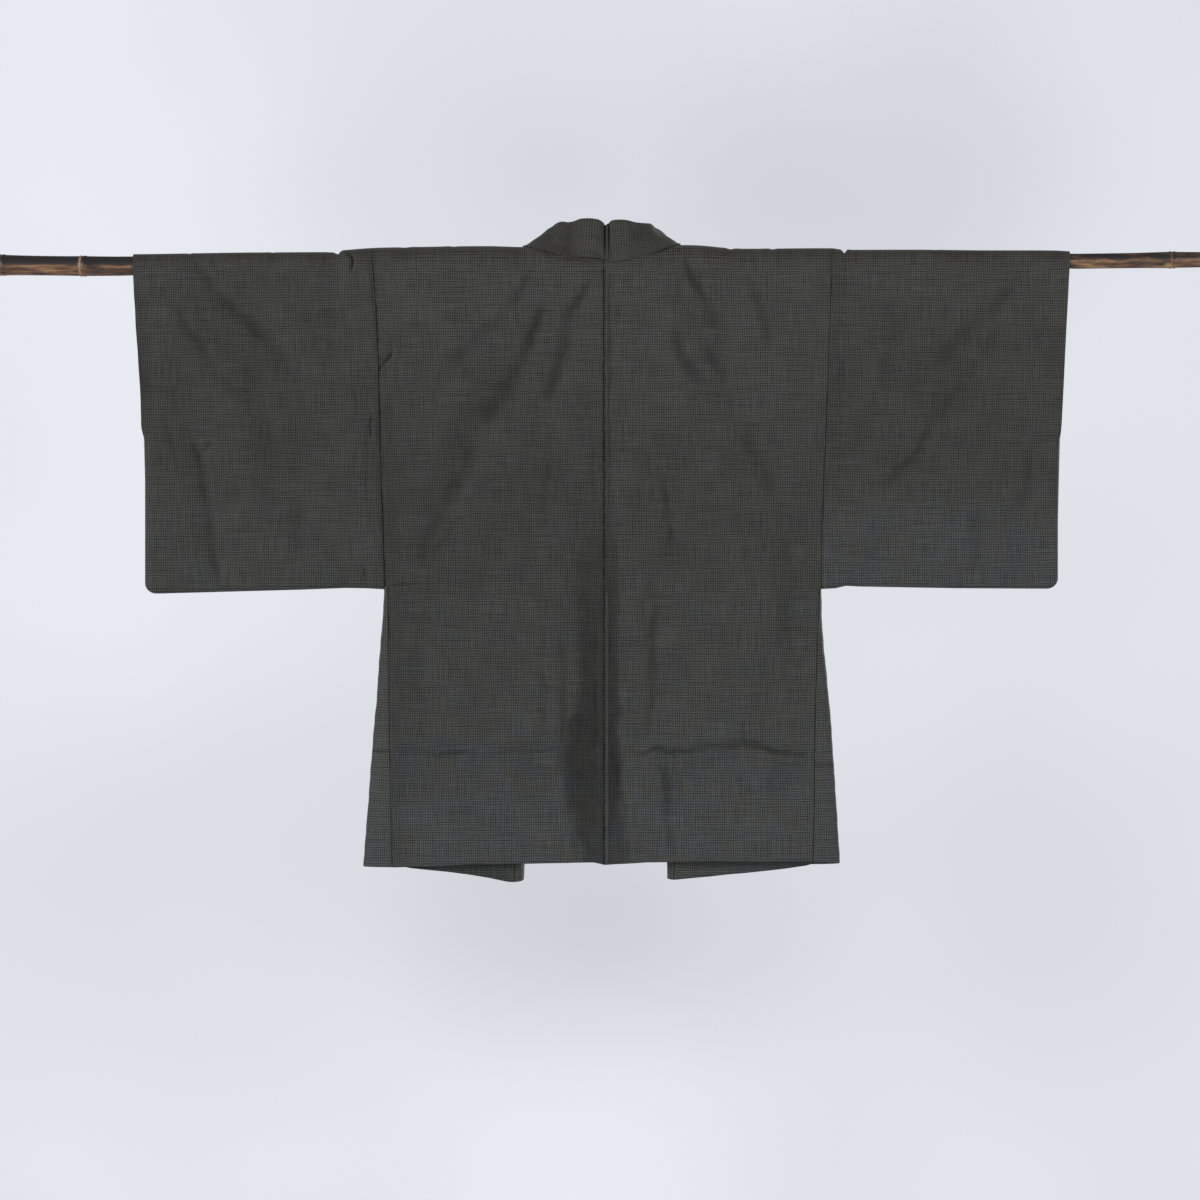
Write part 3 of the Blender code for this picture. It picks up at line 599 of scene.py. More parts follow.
def wall_share(to_edge, wall):
    """The wall's share of its full thickness: it is rounded off at a folded edge."""
    reach = np.clip(1 - to_edge / (wall / 2), 0, 1)
    return np.sqrt(1 - reach * reach)


def grid_normals(grid, round_trip=False):
    if round_trip:
        around = np.concatenate([grid[-1:], grid, grid[:1]])
        down = around[2:] - around[:-2]
    else:
        down = np.gradient(grid, axis=0)
    normal = np.cross(np.gradient(grid, axis=1), down)
    return normal / np.maximum(np.linalg.norm(normal, axis=-1, keepdims=True), 1e-9)


def patchy(hollow, x, drop, piece_key, seed):
    """The painted shade with a darkening by drop and the soft uneven patches and weft bars of hand-dyed silk
    added.
    """
    bars = 0.035 * billow(x * 0.22, drop, seed + 61, 60, 9)
    patches = 0.05 * billow(x, drop, seed + 62, 190, 40)
    soft = np.clip(straight(DARKER_BY_DROP[piece_key], drop) + 0.03 + bars + patches, 0, 1)
    return 1 - (1 - np.clip(hollow, 0, 1)) * (1 - soft)


# What a piece's material reads: place in the weave, painted shade in folds and seams with the dye's uneven
# patches, painted light from below, painted shade and browning at the top, painted shade inside
Look = namedtuple("Look", "weave hollow worn warm inside")


def painted_top_shade(x, drop, seed):
    """Painted shade along the top, browner and darker where the cloth turns up away from the lights, in
    uneven patches.
    """
    return ease((38 - drop) / 22) * np.clip(0.65 + 0.45 * ripple(x, seed + 50, 190, 25), 0, 1)


def lit_from_below(drop):
    """Painted light: the body is paler and cooler towards its hem, as lit from below."""
    return 0.4 + 0.2 * ease((drop - 300) / 350) + 0.4 * ease((drop - 640) / 110)


def add_attribute(mesh, label, values):
    attribute = mesh.attributes.new(label, "FLOAT", "POINT")
    attribute.data.foreach_set("value", values.astype(np.float32))


def shell(name, middle, to_edge, thickness, look, material, cut=None, round_trip=False):
    """A closed sheet round its middle surface, rounded off towards its edges.

    Its two faces share their points along the border, where the wall is 0. A cut takes away the corner
    above and beyond a row and a column, and a round trip joins the last row to the first.
    """
    rows, columns = to_edge.shape
    cloth = np.ones((rows if round_trip else rows - 1, columns - 1), bool)
    border = np.zeros((rows, columns), bool)
    border[:, [0, -1]] = True
    if not round_trip:
        border[[0, -1]] = True
    if cut:
        cloth[: cut[0], cut[1] - 1 :] = False
        border[: cut[0] + 1, cut[1] - 1 :] = True
    wall = np.where(border, 0, np.maximum(thickness * wall_share(to_edge, thickness), LEAST_WALL))
    upper = np.arange(cloth.shape[0])
    lower = (upper + 1) % rows
    ids = np.arange(rows * columns).reshape(rows, columns)
    quads = np.stack(
        [ids[upper][:, :-1], ids[upper][:, 1:], ids[lower][:, 1:], ids[lower][:, :-1]], axis=-1
    )[cloth]
    inner_ids = np.where(border, ids, ids + rows * columns).ravel()
    faces = np.concatenate([quads, inner_ids[quads][:, ::-1]])
    half = grid_normals(middle, round_trip) * wall[..., None] / 2
    points = np.concatenate([middle + half, middle - half]).reshape(-1, 3) * MM
    used, faces = np.unique(faces, return_inverse=True)
    on_middle = used % (rows * columns)
    mesh = bpy.data.meshes.new(name)
    mesh.from_pydata(points[used].tolist(), [], faces.reshape(-1, 4).tolist())
    corners = np.zeros(len(mesh.loops), int)
    mesh.loops.foreach_get("vertex_index", corners)
    threads = (look.weave.reshape(-1, 2)[on_middle] * MM)[corners]
    mesh.uv_layers.new(name="weave").data.foreach_set("uv", threads.ravel().astype(np.float32))
    add_attribute(mesh, "hollow", np.concatenate([look.hollow.ravel(), look.inside.ravel()])[used])
    add_attribute(mesh, "worn", look.worn.ravel()[on_middle])
    add_attribute(mesh, "warm", look.warm.ravel()[on_middle])
    mesh.shade_smooth()
    mesh.validate()
    mesh.materials.append(material)
    piece = bpy.data.objects.new(name, mesh)
    bpy.context.scene.collection.objects.link(piece)
    return piece


def seam_work(away, along, rise, reach, seed):
    """Outward move beside a seam: a rolled or sunk edge with the stitches' small puckers."""
    roll = rise * (1 - ease(away / reach))
    pucker = 0.32 * ripple(along, seed, 46, 9) * np.exp(-away / 8)
    return roll + pucker


def dark_line(away, along, half_width, seed):
    """1 on the painted shade line in a seam, whose width wavers, and 0 beside it."""
    width = half_width * (1 + 0.45 * ripple(along, seed, 40, 6))
    deep = np.clip(0.88 + 0.34 * ripple(along, seed + 40, 90, 11), 0.4, 1)
    return ease(1.5 - away / width) * deep


# ---------------------------------------------------------------- the body's two panels
def body_grid(side, turn, columns, neck_columns, rows):
    """x, drop and distance from the neck's cut of one face's points, and the hem's drop by column."""
    sign, neck = OUTWARD[side], NECK_HALF_WIDTH[side]
    hem_table = BACK_HEM if turn < 0 else FRONT_HEM[side]
    rough_outer = straight(ARMHOLE[side], MID_GUSSET)
    rough_inner = sign * neck if turn < 0 else straight(FRONT_EDGE[side], MID_GUSSET)
    hem = straight(hem_table, rough_outer + (rough_inner - rough_outer) * columns)
    down = rows[:, None]
    drop = down * hem
    outer = straight(ARMHOLE[side], drop)
    inner = sign * neck if turn < 0 else straight(FRONT_EDGE[side], drop)
    x = outer + (inner - outer) * columns
    to_neck = np.full(x.shape, FAR)
    if turn < 0:
        to_neck[:, -1] = drop[:, -1]
        neck_x = sign * neck * (1 - neck_columns)
        neck_hem = straight(hem_table, neck_x)
        neck_x = neck_x - sign * CENTRE_LAP[side] * np.exp(-abs(neck_x) / 3)
        start = neck_drop(neck_x, side)
        below = start + down * (neck_hem - start)
        x = np.concatenate([x, np.broadcast_to(neck_x, below.shape)], axis=1)
        drop = np.concatenate([drop, below], axis=1)
        to_neck = np.concatenate([to_neck, below - start], axis=1)
        hem = np.concatenate([hem, neck_hem])
    return x, drop, to_neck, hem


def centre_seam(side, x, drop, to_centre, seed, moved, hollow):
    """The seam down the back, where the right panel laps over the left one, and the painted shade in its
    gutter.
    """
    moved += seam_work(to_centre, drop, rise=0.7 if side == "right" else -1.0, reach=6, seed=31)
    # Painted shade in the gutter beside the seam
    gutter = smooth(GUTTER_SHADE[side], drop)
    reach = gutter[..., 1] * (1 + 0.1 * ripple(drop, seed + 17, 150, 40))
    dark = gutter[..., 0] * ease((1.2 * reach - to_centre) / (0.42 * reach))
    hollow = np.maximum(hollow, dark * (1 + 0.12 * billow(x, drop, seed + 18, 70, 15)))
    if side == "left":
        # The allowance's edge inside the seam prints through as a faint painted shade line
        print_line = dark_line(abs(to_centre - 14.5 - 0.8 * ripple(drop, 77, 90, 25)), drop, 1.1, 78)
        hollow += 0.22 * print_line * ease((drop - 500) / 60) * ease((770 - drop) / 70)
        return moved, np.maximum(hollow, dark_line(to_centre, drop, 2.6, seed + 2))
    # Above, the seam is one painted dark line of shade with a row of dents in painted shade beside it; below
    # it opens and its folded edge catches light, free of painted shade, with painted shade behind it
    low = ease((drop - BELOW_SLEEVE) / 16)
    line = dark_line(to_centre, drop, 1.1 + 0.7 * ease((drop - 150) / 250), seed + 2)
    edge = hill((to_centre - 4.1) / 2.2) * low * (1 + 0.4 * ripple(drop, 91, 13, 5))
    moved += 1.9 * edge
    hollow *= 1 - ease(edge * 1.6)
    behind = 0.6 * low * ease(1.6 - abs(to_centre - 7.4) / 1.7)
    dents = ease(0.8 + 1.2 * ripple(drop, 95, 15, 5)) * (1 - low) * ease((drop - 30) / 30)
    behind += 0.5 * dents * ease(1.5 - abs(to_centre - 7.0) / 1.7) * ease((460 - drop) / 80)
    moved += 0.5 * hill((to_centre - 4.0) / 2.4) * (1 - low)
    return moved, np.maximum.reduce([hollow, behind, line])


def neck_edge(side, x, drop, hollow):
    """Painted shadow under the collar's edge, and the neck seam's allowance that shows as a thin brown strip
    with a painted shade line.
    """
    under = drop - collar_edge_drop(x, side)
    shadow = (0.34 if side == "left" else 0.16) * np.exp(-abs(under) / 1.6)
    strip = ease((x + 96) / 14) * ease((-x - 1) / 4) * (side == "left")
    line = dark_line(abs(under - 4.2 - 1.2 * ripple(x, 97, 70, 18)), x, 0.8, 98)
    browned = strip * ease(1.6 - abs(under - 2.8) / 2.4)
    return np.maximum.reduce([hollow, shadow, 0.6 * strip * line]), browned


def body_armhole(side, drop, to_armhole, settled, seed, moved, hollow):
    """The body's edge at the armhole, and below the sleeve the thinner seam of the gusset."""
    moved += seam_work(to_armhole, drop, -1.2 if side == "left" else 0.5, 10, seed + 5) * settled
    if side == "left":
        # The seam puckers this panel: small dents in a row with painted shade in them, and it gapes further
        # down, where its painted dark line widens
        dents = ease(1.5 * ripple(drop, seed + 13, 13, 5) - 0.1) * ease((230 - drop) / 40)
        shade = (0.3 + 0.4 * dents) * np.exp(-to_armhole / 5.5)
        moved -= 0.5 * dents * np.exp(-to_armhole / 6) * settled
        line = dark_line(to_armhole, drop, 0.9 + 0.5 * ease((drop - 200) / 30), seed + 6) * 0.8
    else:
        shade = 0.1 * np.exp(-to_armhole / 5)
        line = dark_line(to_armhole, drop, 0.9, seed + 6) * 0.5
    # Painted shade along the seam
    hollow = np.maximum(hollow, np.maximum(line, shade) * ease((drop - 8) / 20))
    below = ease((drop - BELOW_SLEEVE) / 8)
    # Below the sleeve, a thinner painted shade line
    thin = 0.3 * dark_line(to_armhole, drop, 0.7, seed + 7)
    hollow = np.where(to_armhole < 14, hollow * (1 - below) + thin * below, hollow)
    if side == "left":
        # Painted shade where the allowance pulls this panel in a little
        hollow = np.maximum(hollow, 0.2 * ease((drop - 150) / 90) * ease((34 - to_armhole) / 30))
    return moved, hollow


def body_face(side, turn, columns, neck_columns, rows):
    """Middle, distance to the edge, weave, painted shade, painted light, painted top shade and brown strip,
    and inner painted shade of one face's points.
    """
    seed = 11 if side == "left" else 23
    x, drop, to_neck, hem = body_grid(side, turn, columns, neck_columns, rows)
    to_armhole = abs(x - straight(ARMHOLE[side], drop))
    to_hem = hem - drop
    moved, hollow = fine_work(x, drop, turn, seed + (turn > 0))
    settled = ease((drop - 14) / 30)
    if turn < 0:
        to_inner = abs(x + OUTWARD[side] * CENTRE_LAP[side])
        moved, hollow = centre_seam(side, x, drop, to_inner, seed, moved, hollow)
        hollow, browned = neck_edge(side, x, drop, hollow)
    else:
        browned = 0
        to_inner = abs(x - straight(FRONT_EDGE[side], drop))
        moved += seam_work(to_inner, drop, 0.3, 10, seed + 3) * settled
        # Painted shade line along the front edge's seam
        hollow = np.maximum(hollow, 0.4 * dark_line(to_inner, drop, 1.1, seed + 4))
    moved, hollow = body_armhole(side, drop, to_armhole, settled, seed, moved, hollow)
    moved += 0.3 * ripple(x, seed + 9, 70, 16) * np.exp(-to_hem / 14)
    # Painted shade along the hem's folded edge
    hollow = np.maximum(hollow, 0.3 * np.exp(-to_hem / 2.2))
    hollow = inside = patchy(hollow, x, drop, "body_" + side, seed)
    if turn > 0 and side == "left":
        # Painted shade between the front panel and the back, darkest beside the collar
        inside = hollow + 0.22 * ease((drop - 850) / 20) * ease((110 - to_inner) / 70)
    middle = cloth_place(x, drop, turn, moved)
    to_edge = np.minimum.reduce([to_armhole, to_hem, to_inner, to_neck])
    weave = np.stack([x, -turn * drop], axis=-1)
    return middle, to_edge, weave, hollow, lit_from_below(drop), np.maximum(painted_top_shade(x, drop, seed), browned), inside


def body_panel(side, material):
    """From the front hem over the shoulder to the back hem, with the neck cut out of its inner edge."""
    neck = NECK_HALF_WIDTH[side]
    columns = spaced(205, 3.8, [(0, 42, 2.0)])
    neck_zones = [(0, 5, 0.9), (5, 14, 2.2), (neck - 34, neck, 1.9)]
    neck_columns = spaced(neck, 3.8, neck_zones, fine_start=False)[1:]
    back_rows = spaced(886, 3.8, [(0, 60, 2.3), (478, 500, 1.9), (712, 744, 2.4)], fine_start=False)
    front_rows = spaced(900, 4.6, [(0, 60, 2.3), (714, 744, 2.6)], fine_start=False)
    back = body_face(side, -1, columns, neck_columns, back_rows)
    front = body_face(side, 1, columns, neck_columns, front_rows)
    shoulder = len(columns)
    ridge = len(front_rows) - 1
    joined = []
    for of_back, of_front in zip(back, front):
        fill = np.repeat(of_front[:, -1:], of_back.shape[1] - shoulder, axis=1)
        joined.append(np.concatenate([np.concatenate([of_front, fill], axis=1)[:0:-1], of_back]))
    middle, to_edge, weave, hollow, worn, warm, inside = joined
    # A row on past the neck's edge, so that the normals there come out right
    middle[ridge - 1, shoulder:] = 2 * middle[ridge, shoulder:] - middle[ridge + 1, shoulder:]
    if side == "left":
        # This panel's columns run the other way round, so its first face is the inner one
        hollow, inside = inside, hollow
    look = Look(weave, hollow, worn, warm, inside)
    return shell(f"haori_body_{side}", middle, to_edge, CLOTH_WALL, look, material, cut=(ridge, shoulder))


# ---------------------------------------------------------------- sleeves
def sleeve_grid(side):
    """x, drop and the bottom's drop of one face's points, and how far its rounded bottom has closed."""
    columns = spaced(340, 3.7, [(0, 66, 1.9)])
    length = float(straight(SLEEVE_BOTTOM[side], straight(ARMHOLE[side], ARMHOLE_END)))
    rows = spaced(length, 3.8, [(0, 60, 2.3)], fine_start=False, fine_end=False)
    inner = straight(ARMHOLE[side], np.minimum(rows * length, ARMHOLE_END))
    outer = straight(SLEEVE_END[side], rows * length)
    x = inner[:, None] + (outer - inner)[:, None] * columns
    arc = np.linspace(0, math.pi / 2, BOTTOM_STEPS + 1)[1:]
    x = np.concatenate([x, np.repeat(x[-1:], BOTTOM_STEPS, 0)])
    bottom = straight(SLEEVE_BOTTOM[side], x)
    to_end = abs(straight(SLEEVE_END[side], bottom) - x)
    into_corner = np.clip(SLEEVE_CORNER - to_end, 0, SLEEVE_CORNER)
    bottom = bottom - (SLEEVE_CORNER - np.sqrt(SLEEVE_CORNER**2 - into_corner**2))
    hanging = rows[:, None] * (bottom[: len(rows)] - BOTTOM_RADIUS)
    closing = bottom[len(rows) :] - BOTTOM_RADIUS * (1 - np.sin(arc))[:, None]
    open_share = np.concatenate([np.ones(len(rows)), np.cos(arc)])[:, None]
    return x, np.concatenate([hanging, closing]), bottom, open_share


def sleeve_armhole(side, drop, to_armhole, seed, moved, hollow):
    """The sleeve's edge at the armhole, with the seam allowances that lie inside it."""
    settled = ease((drop - 10) / 24)
    if side == "left":
        # The allowance turned this way lifts a band along the seam, most of all near the top
        moved += 0.7 * hill((to_armhole - 5.5) / 7) * settled * (1 + 0.5 * ripple(drop, seed + 5, 50, 9))
        upper = ease((drop - 16) / 8) * ease((120 - drop) / 40)
        moved -= 0.9 * upper * hill((to_armhole - 3) / 2.4)
        moved += 0.5 * ripple(drop, seed + 15, 24, 7) * np.exp(-to_armhole / 4) * settled
        # Painted shade lines beside the lifted band and along the seam
        second = 0.42 * upper * ease(1.6 - abs(to_armhole - 3))
        lower = 0.3 * ease((drop - 385) / 20) * ease(1.5 - abs(to_armhole - 10.5))
        shade = (0.1 + 0.24 * ease((drop - 190) / 40)) * np.exp(-to_armhole / 6) * settled
        hollow = np.maximum.reduce([hollow, second, lower, shade])
    else:
        moved += seam_work(to_armhole, drop, -0.6, 6, seed + 5) * settled
        # The allowance turned into this sleeve shows through as a slight step with a thin painted shade line
        high = settled * ease((345 - drop) / 30)
        moved += 0.5 * ease((21.5 - to_armhole) / 2.5) * high
        step = 0.42 * high * dark_line(abs(to_armhole - 20.5), drop, 0.8, seed + 12)
        hollow = np.maximum.reduce([hollow, step, 0.08 * ease((20 - to_armhole) / 5) * high])
    # Painted shade line along the seam
    line = dark_line(to_armhole, drop, 0.8, seed + 11) * (0.4 if side == "left" else 0.6)
    return moved, np.maximum(hollow, line * ease((drop - 8) / 20))


def sleeve(side, material):
    """A tube folded over the pole, closed below and at its outer end under the cuff opening."""
    seed = 41 if side == "left" else 57
    x, drop, bottom, open_share = sleeve_grid(side)
    to_end = abs(straight(SLEEVE_END[side], drop) - x)
    to_armhole = abs(x - straight(ARMHOLE[side], np.minimum(drop, ARMHOLE_END)))
    to_bottom = bottom - drop
    sewn = ease((drop - CUFF_OPENING) / 12)
    held = ease((drop - CUFF_OPENING) / CUFF_FADE + 1)
    calm = ease(to_bottom / FOLD_FADE) * (1 - held * (1 - ease(to_end / FOLD_FADE)))
    quiet = ease((to_bottom + 4) / 16) * (1 - sewn * (1 - ease(to_end / 16)))
    pinch = np.sqrt(np.clip(1 - np.clip(1 - to_end / 13, 0, 1) ** 2, 0, 1))
    # Painted light: the sleeve is paler and cooler lower down, as lit from below
    worn = ease((drop - 320) / 120)
    worn = 0.4 + 0.6 * worn if side == "right" else 0.35 + 0.25 * worn
    faces = []
    for turn in (-1, 1):
        moved, hollow = fine_work(x, drop, turn, seed + (turn > 0))
        moved, hollow = sleeve_armhole(side, drop, to_armhole, seed, moved, hollow)
        moved += 0.3 * ripple(drop, seed + 6, 60, 14) * np.exp(-to_end / 12)
        moved += 0.3 * ripple(x, seed + 8, 70, 16) * np.exp(-to_bottom / 14)
        middle = cloth_place(x, drop, turn, moved * quiet, calm)
        middle[..., 1] *= open_share * (1 - sewn * (1 - pinch))
        # Painted shade along the bottom's folded edge
        hollow = np.maximum(hollow, 0.3 * np.exp(-to_bottom / 2.0))
        hollow = patchy(hollow, x, drop, "sleeve_" + side, seed)
        weave = np.stack([x + 470 * OUTWARD[side], -turn * drop + 130], axis=-1)
        faces.append((middle, np.minimum(to_end, to_armhole), weave, hollow, worn, painted_top_shade(x, drop, seed)))
    joined = [np.concatenate([of_back, of_front[-2:0:-1]]) for of_back, of_front in zip(*faces)]
    middle, to_edge, weave, hollow, worn, warm = joined
    look = Look(weave, hollow, worn, warm, hollow)
    return shell(f"haori_sleeve_{side}", middle, to_edge, CLOTH_WALL, look, material, round_trip=True)


def gusset(side, material):
    """A narrow wedge between the front and back panels, folded outward, from the sleeve to the hem."""
    sign, is_right = OUTWARD[side], side == "right"
    rows = spaced(394, 4.0)[:, None]
    to_fold = np.linspace(0, 1, 14) ** 1.4 / 2
    angle = np.concatenate([to_fold, 1 - to_fold[-2::-1]]) * math.pi
    sine, cosine = np.sin(angle), np.cos(angle)
    seam_x = straight(ARMHOLE[side], MID_GUSSET)
    hem_back, hem_front = straight(BACK_HEM, seam_x), straight(FRONT_HEM[side], seam_x)
    hem = hem_back + (hem_front - hem_back) * ((1 - cosine) / 2)
    drop = GUSSET_START + rows * (hem - GUSSET_START)
    seam = straight(ARMHOLE[side], np.maximum(drop, GUSSET_TOP)) - sign * 0.2
    fold = straight(SIDE_FOLD[side], drop) + sign
    back, front = (cloth_place(seam, drop, turn, -0.4)[..., 1] for turn in (-1, 1))
    x = seam + (fold - seam) * sine
    y = np.where(cosine > 0, back * cosine, -front * cosine)
    x = x + sign * 0.5 * ripple(drop, 73 + is_right, 120, 30) * sine**2
    y = y + 0.5 * ripple(drop, 71 + is_right, 160, 40) * sine
    middle = np.stack([x, y, RIDGE_LEVEL - drop], axis=-1)
    to_seam = np.minimum(angle, math.pi - angle) * abs(fold - seam)
    to_edge = np.minimum.reduce([to_seam, drop - GUSSET_START, hem - drop])
    pressed = 745 if is_right else 725
    # Painted shade along the seam and in a pressed crease
    hollow = np.maximum(0.4 * np.exp(-to_seam / 1.2), 0.45 * np.exp(-(((drop - pressed) / 2.4) ** 2)))
    weave = np.stack([to_seam * np.sign(cosine) + 900, drop + 60], axis=-1)
    look = Look(weave, hollow, lit_from_below(drop), 0 * drop, hollow)
    return shell(f"haori_gusset_{side}", middle, to_edge, CLOTH_WALL, look, material)


# ---------------------------------------------------------------- collar
def bezier(p0, p1, p2, p3, t):
    return p0 * (1 - t) ** 3 + p1 * 3 * t * (1 - t) ** 2 + p2 * 3 * t * t * (1 - t) + p3 * t**3


def collar_half(side):
    """Seam, normal, fold, free edge and length at stations from the middle of the neck to a front hem."""
    sign = OUTWARD[side]
    neck = NECK_HALF_WIDTH[side]
    # Close together beside the pinch at the middle of the neck
    close = math.asin((14 if side == "right" else 6) / neck)
    count = 24 if side == "right" else 11
    turns = np.concatenate([np.linspace(0, close, count), np.linspace(close, math.pi / 2, 40)[1:]])
    swing = np.sin(turns)
    neck_x = sign * neck * swing
    edge_x = neck_x + sign * COLLAR_COVER * swing
    seam = cloth_place(neck_x, neck_drop(neck_x, side), -1)
    normal = cloth_normal(neck_x, neck_drop(neck_x, side), -1)
    edge = cloth_place(edge_x, collar_edge_drop(edge_x, side), -1, COLLAR_LIFT)

    hem = straight(FRONT_HEM[side], straight(FRONT_EDGE[side], 912))
    drop = (spaced(hem, 4.2, [(0, 60, 2.6)], fine_start=False) * hem)[1:]
    front_x = straight(FRONT_EDGE[side], drop)
    cover = FRONT_COVER + (COLLAR_COVER - FRONT_COVER) * ease(1 - drop / COVER_FADE)
    seam = np.concatenate([seam, cloth_place(front_x, drop, 1)])
    normal = np.concatenate([normal, cloth_normal(front_x, drop, 1)])
    edge = np.concatenate([edge, cloth_place(front_x + sign * cover, drop, 1, COLLAR_LIFT)])

    along = np.concatenate([[0], np.cumsum(np.linalg.norm(np.diff(seam, axis=0), axis=1))])
    fold = seam + smooth(COLLAR_LEAN[side], along) * (-sign, 1, 1)
    return seam, normal, fold, edge, along * sign


def collar_sections(seam, normal, fold, edge):
    """Points round the band at each station, and each one's place: seam 0, fold 1, free edge 2."""
    into = np.cross(normal, np.gradient(seam, axis=0))
    into /= np.linalg.norm(into, axis=1, keepdims=True)
    across = np.cross(np.gradient(fold, axis=0), fold - seam)
    # The two sides of the pinch in the middle are kept from crossing
    across[:, 0] *= ease(abs(seam[:, 0]) / 15)
    across /= np.linalg.norm(across, axis=1, keepdims=True)
    start = seam + into * 0.1
    lead = start + into * COLLAR_LEAD
    span = np.linalg.norm(fold - start, axis=1, keepdims=True)
    axis = (fold - start) / span
    bend = span * COLLAR_BEND
    tip = fold - axis * FOLD_RADIUS
    outer_tip = tip + across * 2 * FOLD_RADIUS
    sections = [(start + into * part, part / 60) for part in EDGE_STEPS[:7]]
    for t in np.linspace(0, 1, 14):
        sections.append((bezier(lead, lead + into * bend, tip - axis * bend, tip, t), 0.05 + 0.93 * t))
    for turn in np.linspace(0, math.pi, 8)[1:-1]:
        round_tip = tip + across * FOLD_RADIUS * (1 - math.cos(turn)) + axis * FOLD_RADIUS * math.sin(turn)
        sections.append((round_tip, 0.98 + 0.04 * turn / math.pi))
    for t in (*np.linspace(0, 0.93, 15), 0.965, 0.98, 0.989, 0.994, 0.9975, 0.9993, 1):
        outer_face = bezier(outer_tip, outer_tip - axis * bend, edge + into * bend, edge, t)
        sections.append((outer_face, 1.02 + 0.98 * t))
    return np.stack([points for points, _ in sections], axis=1), [place for _, place in sections]


def collar(material):
    """The band, folded outward along its length, from the left hem round the neck to the right hem."""
    halves = zip(collar_half("left"), collar_half("right"))
    *lines, along = (np.concatenate([left[:0:-1], right]) for left, right in halves)
    middle, places = collar_sections(*lines)
    q, s = np.meshgrid(places, along)
    x = middle[..., 0]
    outer = ease((q - 0.9) / 0.2)
    high = 1 - ease((q - 1.0) / 1.1)
    neck = 1 - ease((abs(s) - 132) / 30)
    free = 2 - q
    # Beside the middle the face is moved straight backward, so that the pinch doesn't cross itself
    face = grid_normals(middle)
    face[..., 0] *= ease((abs(x - 3.5) - 9) / 8)
    face /= np.linalg.norm(face, axis=-1, keepdims=True)
    work = 0
    for centre, width, height, least in COLLAR_HUMPS:
        hump = hill(np.clip(abs(x - centre) / width, 0, 1))
        work = work + height * hump * (least + (1 - least) * high)
    work = neck * outer * work
    work += 0.35 * ripple(s, 83, 70, 15) * np.exp(-np.abs(free) * 8)
    work += 0.7 * billow(s, q * 60, 87, 210, 40) * ease(np.minimum(q, free) * 3)
    middle = middle + face * work[..., None]
    lift = straight(RIM_LIFT, x) * ease((abs(s) - 150) / -14)
    middle[..., 2] += lift * ease((q - 0.3) / 0.5) * ease((2 - q) / 0.4)
    # At the hem the band is sewn shut a little short at its fold
    to_end = np.minimum(s - along[0], along[-1] - s)
    middle[..., 2] += 6.4 * (1 - abs(q - 1)) * ease(1 - to_end / 60)
    width_in = np.linalg.norm(middle[:, 1:] - middle[:, :-1], axis=2)
    across_length = np.concatenate([np.zeros((len(along), 1)), np.cumsum(width_in, axis=1)], axis=1)
    to_free = across_length[:, -1:] - across_length
    to_edge = np.minimum.reduce([across_length, to_free, to_end])
    upper = ease((middle[..., 2] - 2) / 22)
    # Painted shade in the pinch's valleys, beside the lobes and on the flanks
    hollow = neck * outer * (
        0.8 * np.exp(-(((x - 0.2) / 2.1) ** 4)) * (0.3 + 0.7 * upper)
        + 0.95 * np.exp(-(((x - 6.3) / 1.7) ** 4)) * (0.35 + 0.65 * upper)
        + 0.25 * np.exp(-(((x - 3) / 9) ** 2)) * high
        + 0.45 * np.exp(-(((x + 51) / 16) ** 2)) * (0.6 + 0.4 * high)
        + 0.06
        + 0.18 * np.exp(-(((x - 53) / 15) ** 2)) * high
        + 0.15 * np.exp(-(((x + 84) / 10) ** 2))
    )
    # Painted shade over the right rim, where it would catch light
    hollow += 0.4 * neck * ease((x - 58) / 14) * np.exp(-(((q - 0.97) / 0.1) ** 2))
    # Painted shade along the free edge
    hollow = np.clip(np.maximum(hollow, 0.26 * np.exp(-to_free / 1.4) * outer), 0, 1)
    # Eased on along the curved seam, the band shows its check a little closer that way
    weave = np.stack([0.95 * across_length + 1300, 1.05 * s + 40], axis=-1)
    # Painted shade, browner, where the band turns over the top of the shoulders
    warm = 0.55 * ease((abs(s) - 60) / 40) * ease((150 - abs(s)) / 20)
    # Painted light: the band is paler towards its ends at the hems
    look = Look(weave, hollow, 0.4 + 0.6 * ease(1 - to_end / 120), warm, hollow)
    return shell("haori_collar", middle, to_edge, COLLAR_WALL, look, material)


# ---------------------------------------------------------------- materials
def colour(text):
    """Linear colour, with alpha, from an sRGB hex value."""
    parts = [int(text[i : i + 2], 16) / 255 for i in (1, 3, 5)]
    return (*(p / 12.92 if p <= 0.04045 else ((p + 0.055) / 1.055) ** 2.4 for p in parts), 1)


def add_node(tree, kind, sockets=None, **settings):
    """A node with its settings. A socket takes a value, an output, or a node whose first output is meant."""
    node = tree.nodes.new("ShaderNode" + kind)
    for name, value in settings.items():
        setattr(node, name, value)
    for socket, value in (sockets or {}).items():
        if isinstance(value, bpy.types.Node):
            value = value.outputs[0]
        if isinstance(value, bpy.types.NodeSocket):
            tree.links.new(value, node.inputs[socket])
        else:
            node.inputs[socket].default_value = value
    return node


def new_material(name):
    """A material without nodes, and what adds nodes to it."""
    material = bpy.data.materials.new(name)
    material.use_nodes = True
    material.node_tree.nodes.clear()
    return material, partial(add_node, material.node_tree)


def fill_ramp(elements, stops):
    """Gives a colour ramp its stops: (position, tone)."""
    for position, _ in stops[1:-1]:
        elements.new(position)
    for stop, (position, tone) in zip(elements, stops):
        stop.position = position
        stop.color = colour(tone)


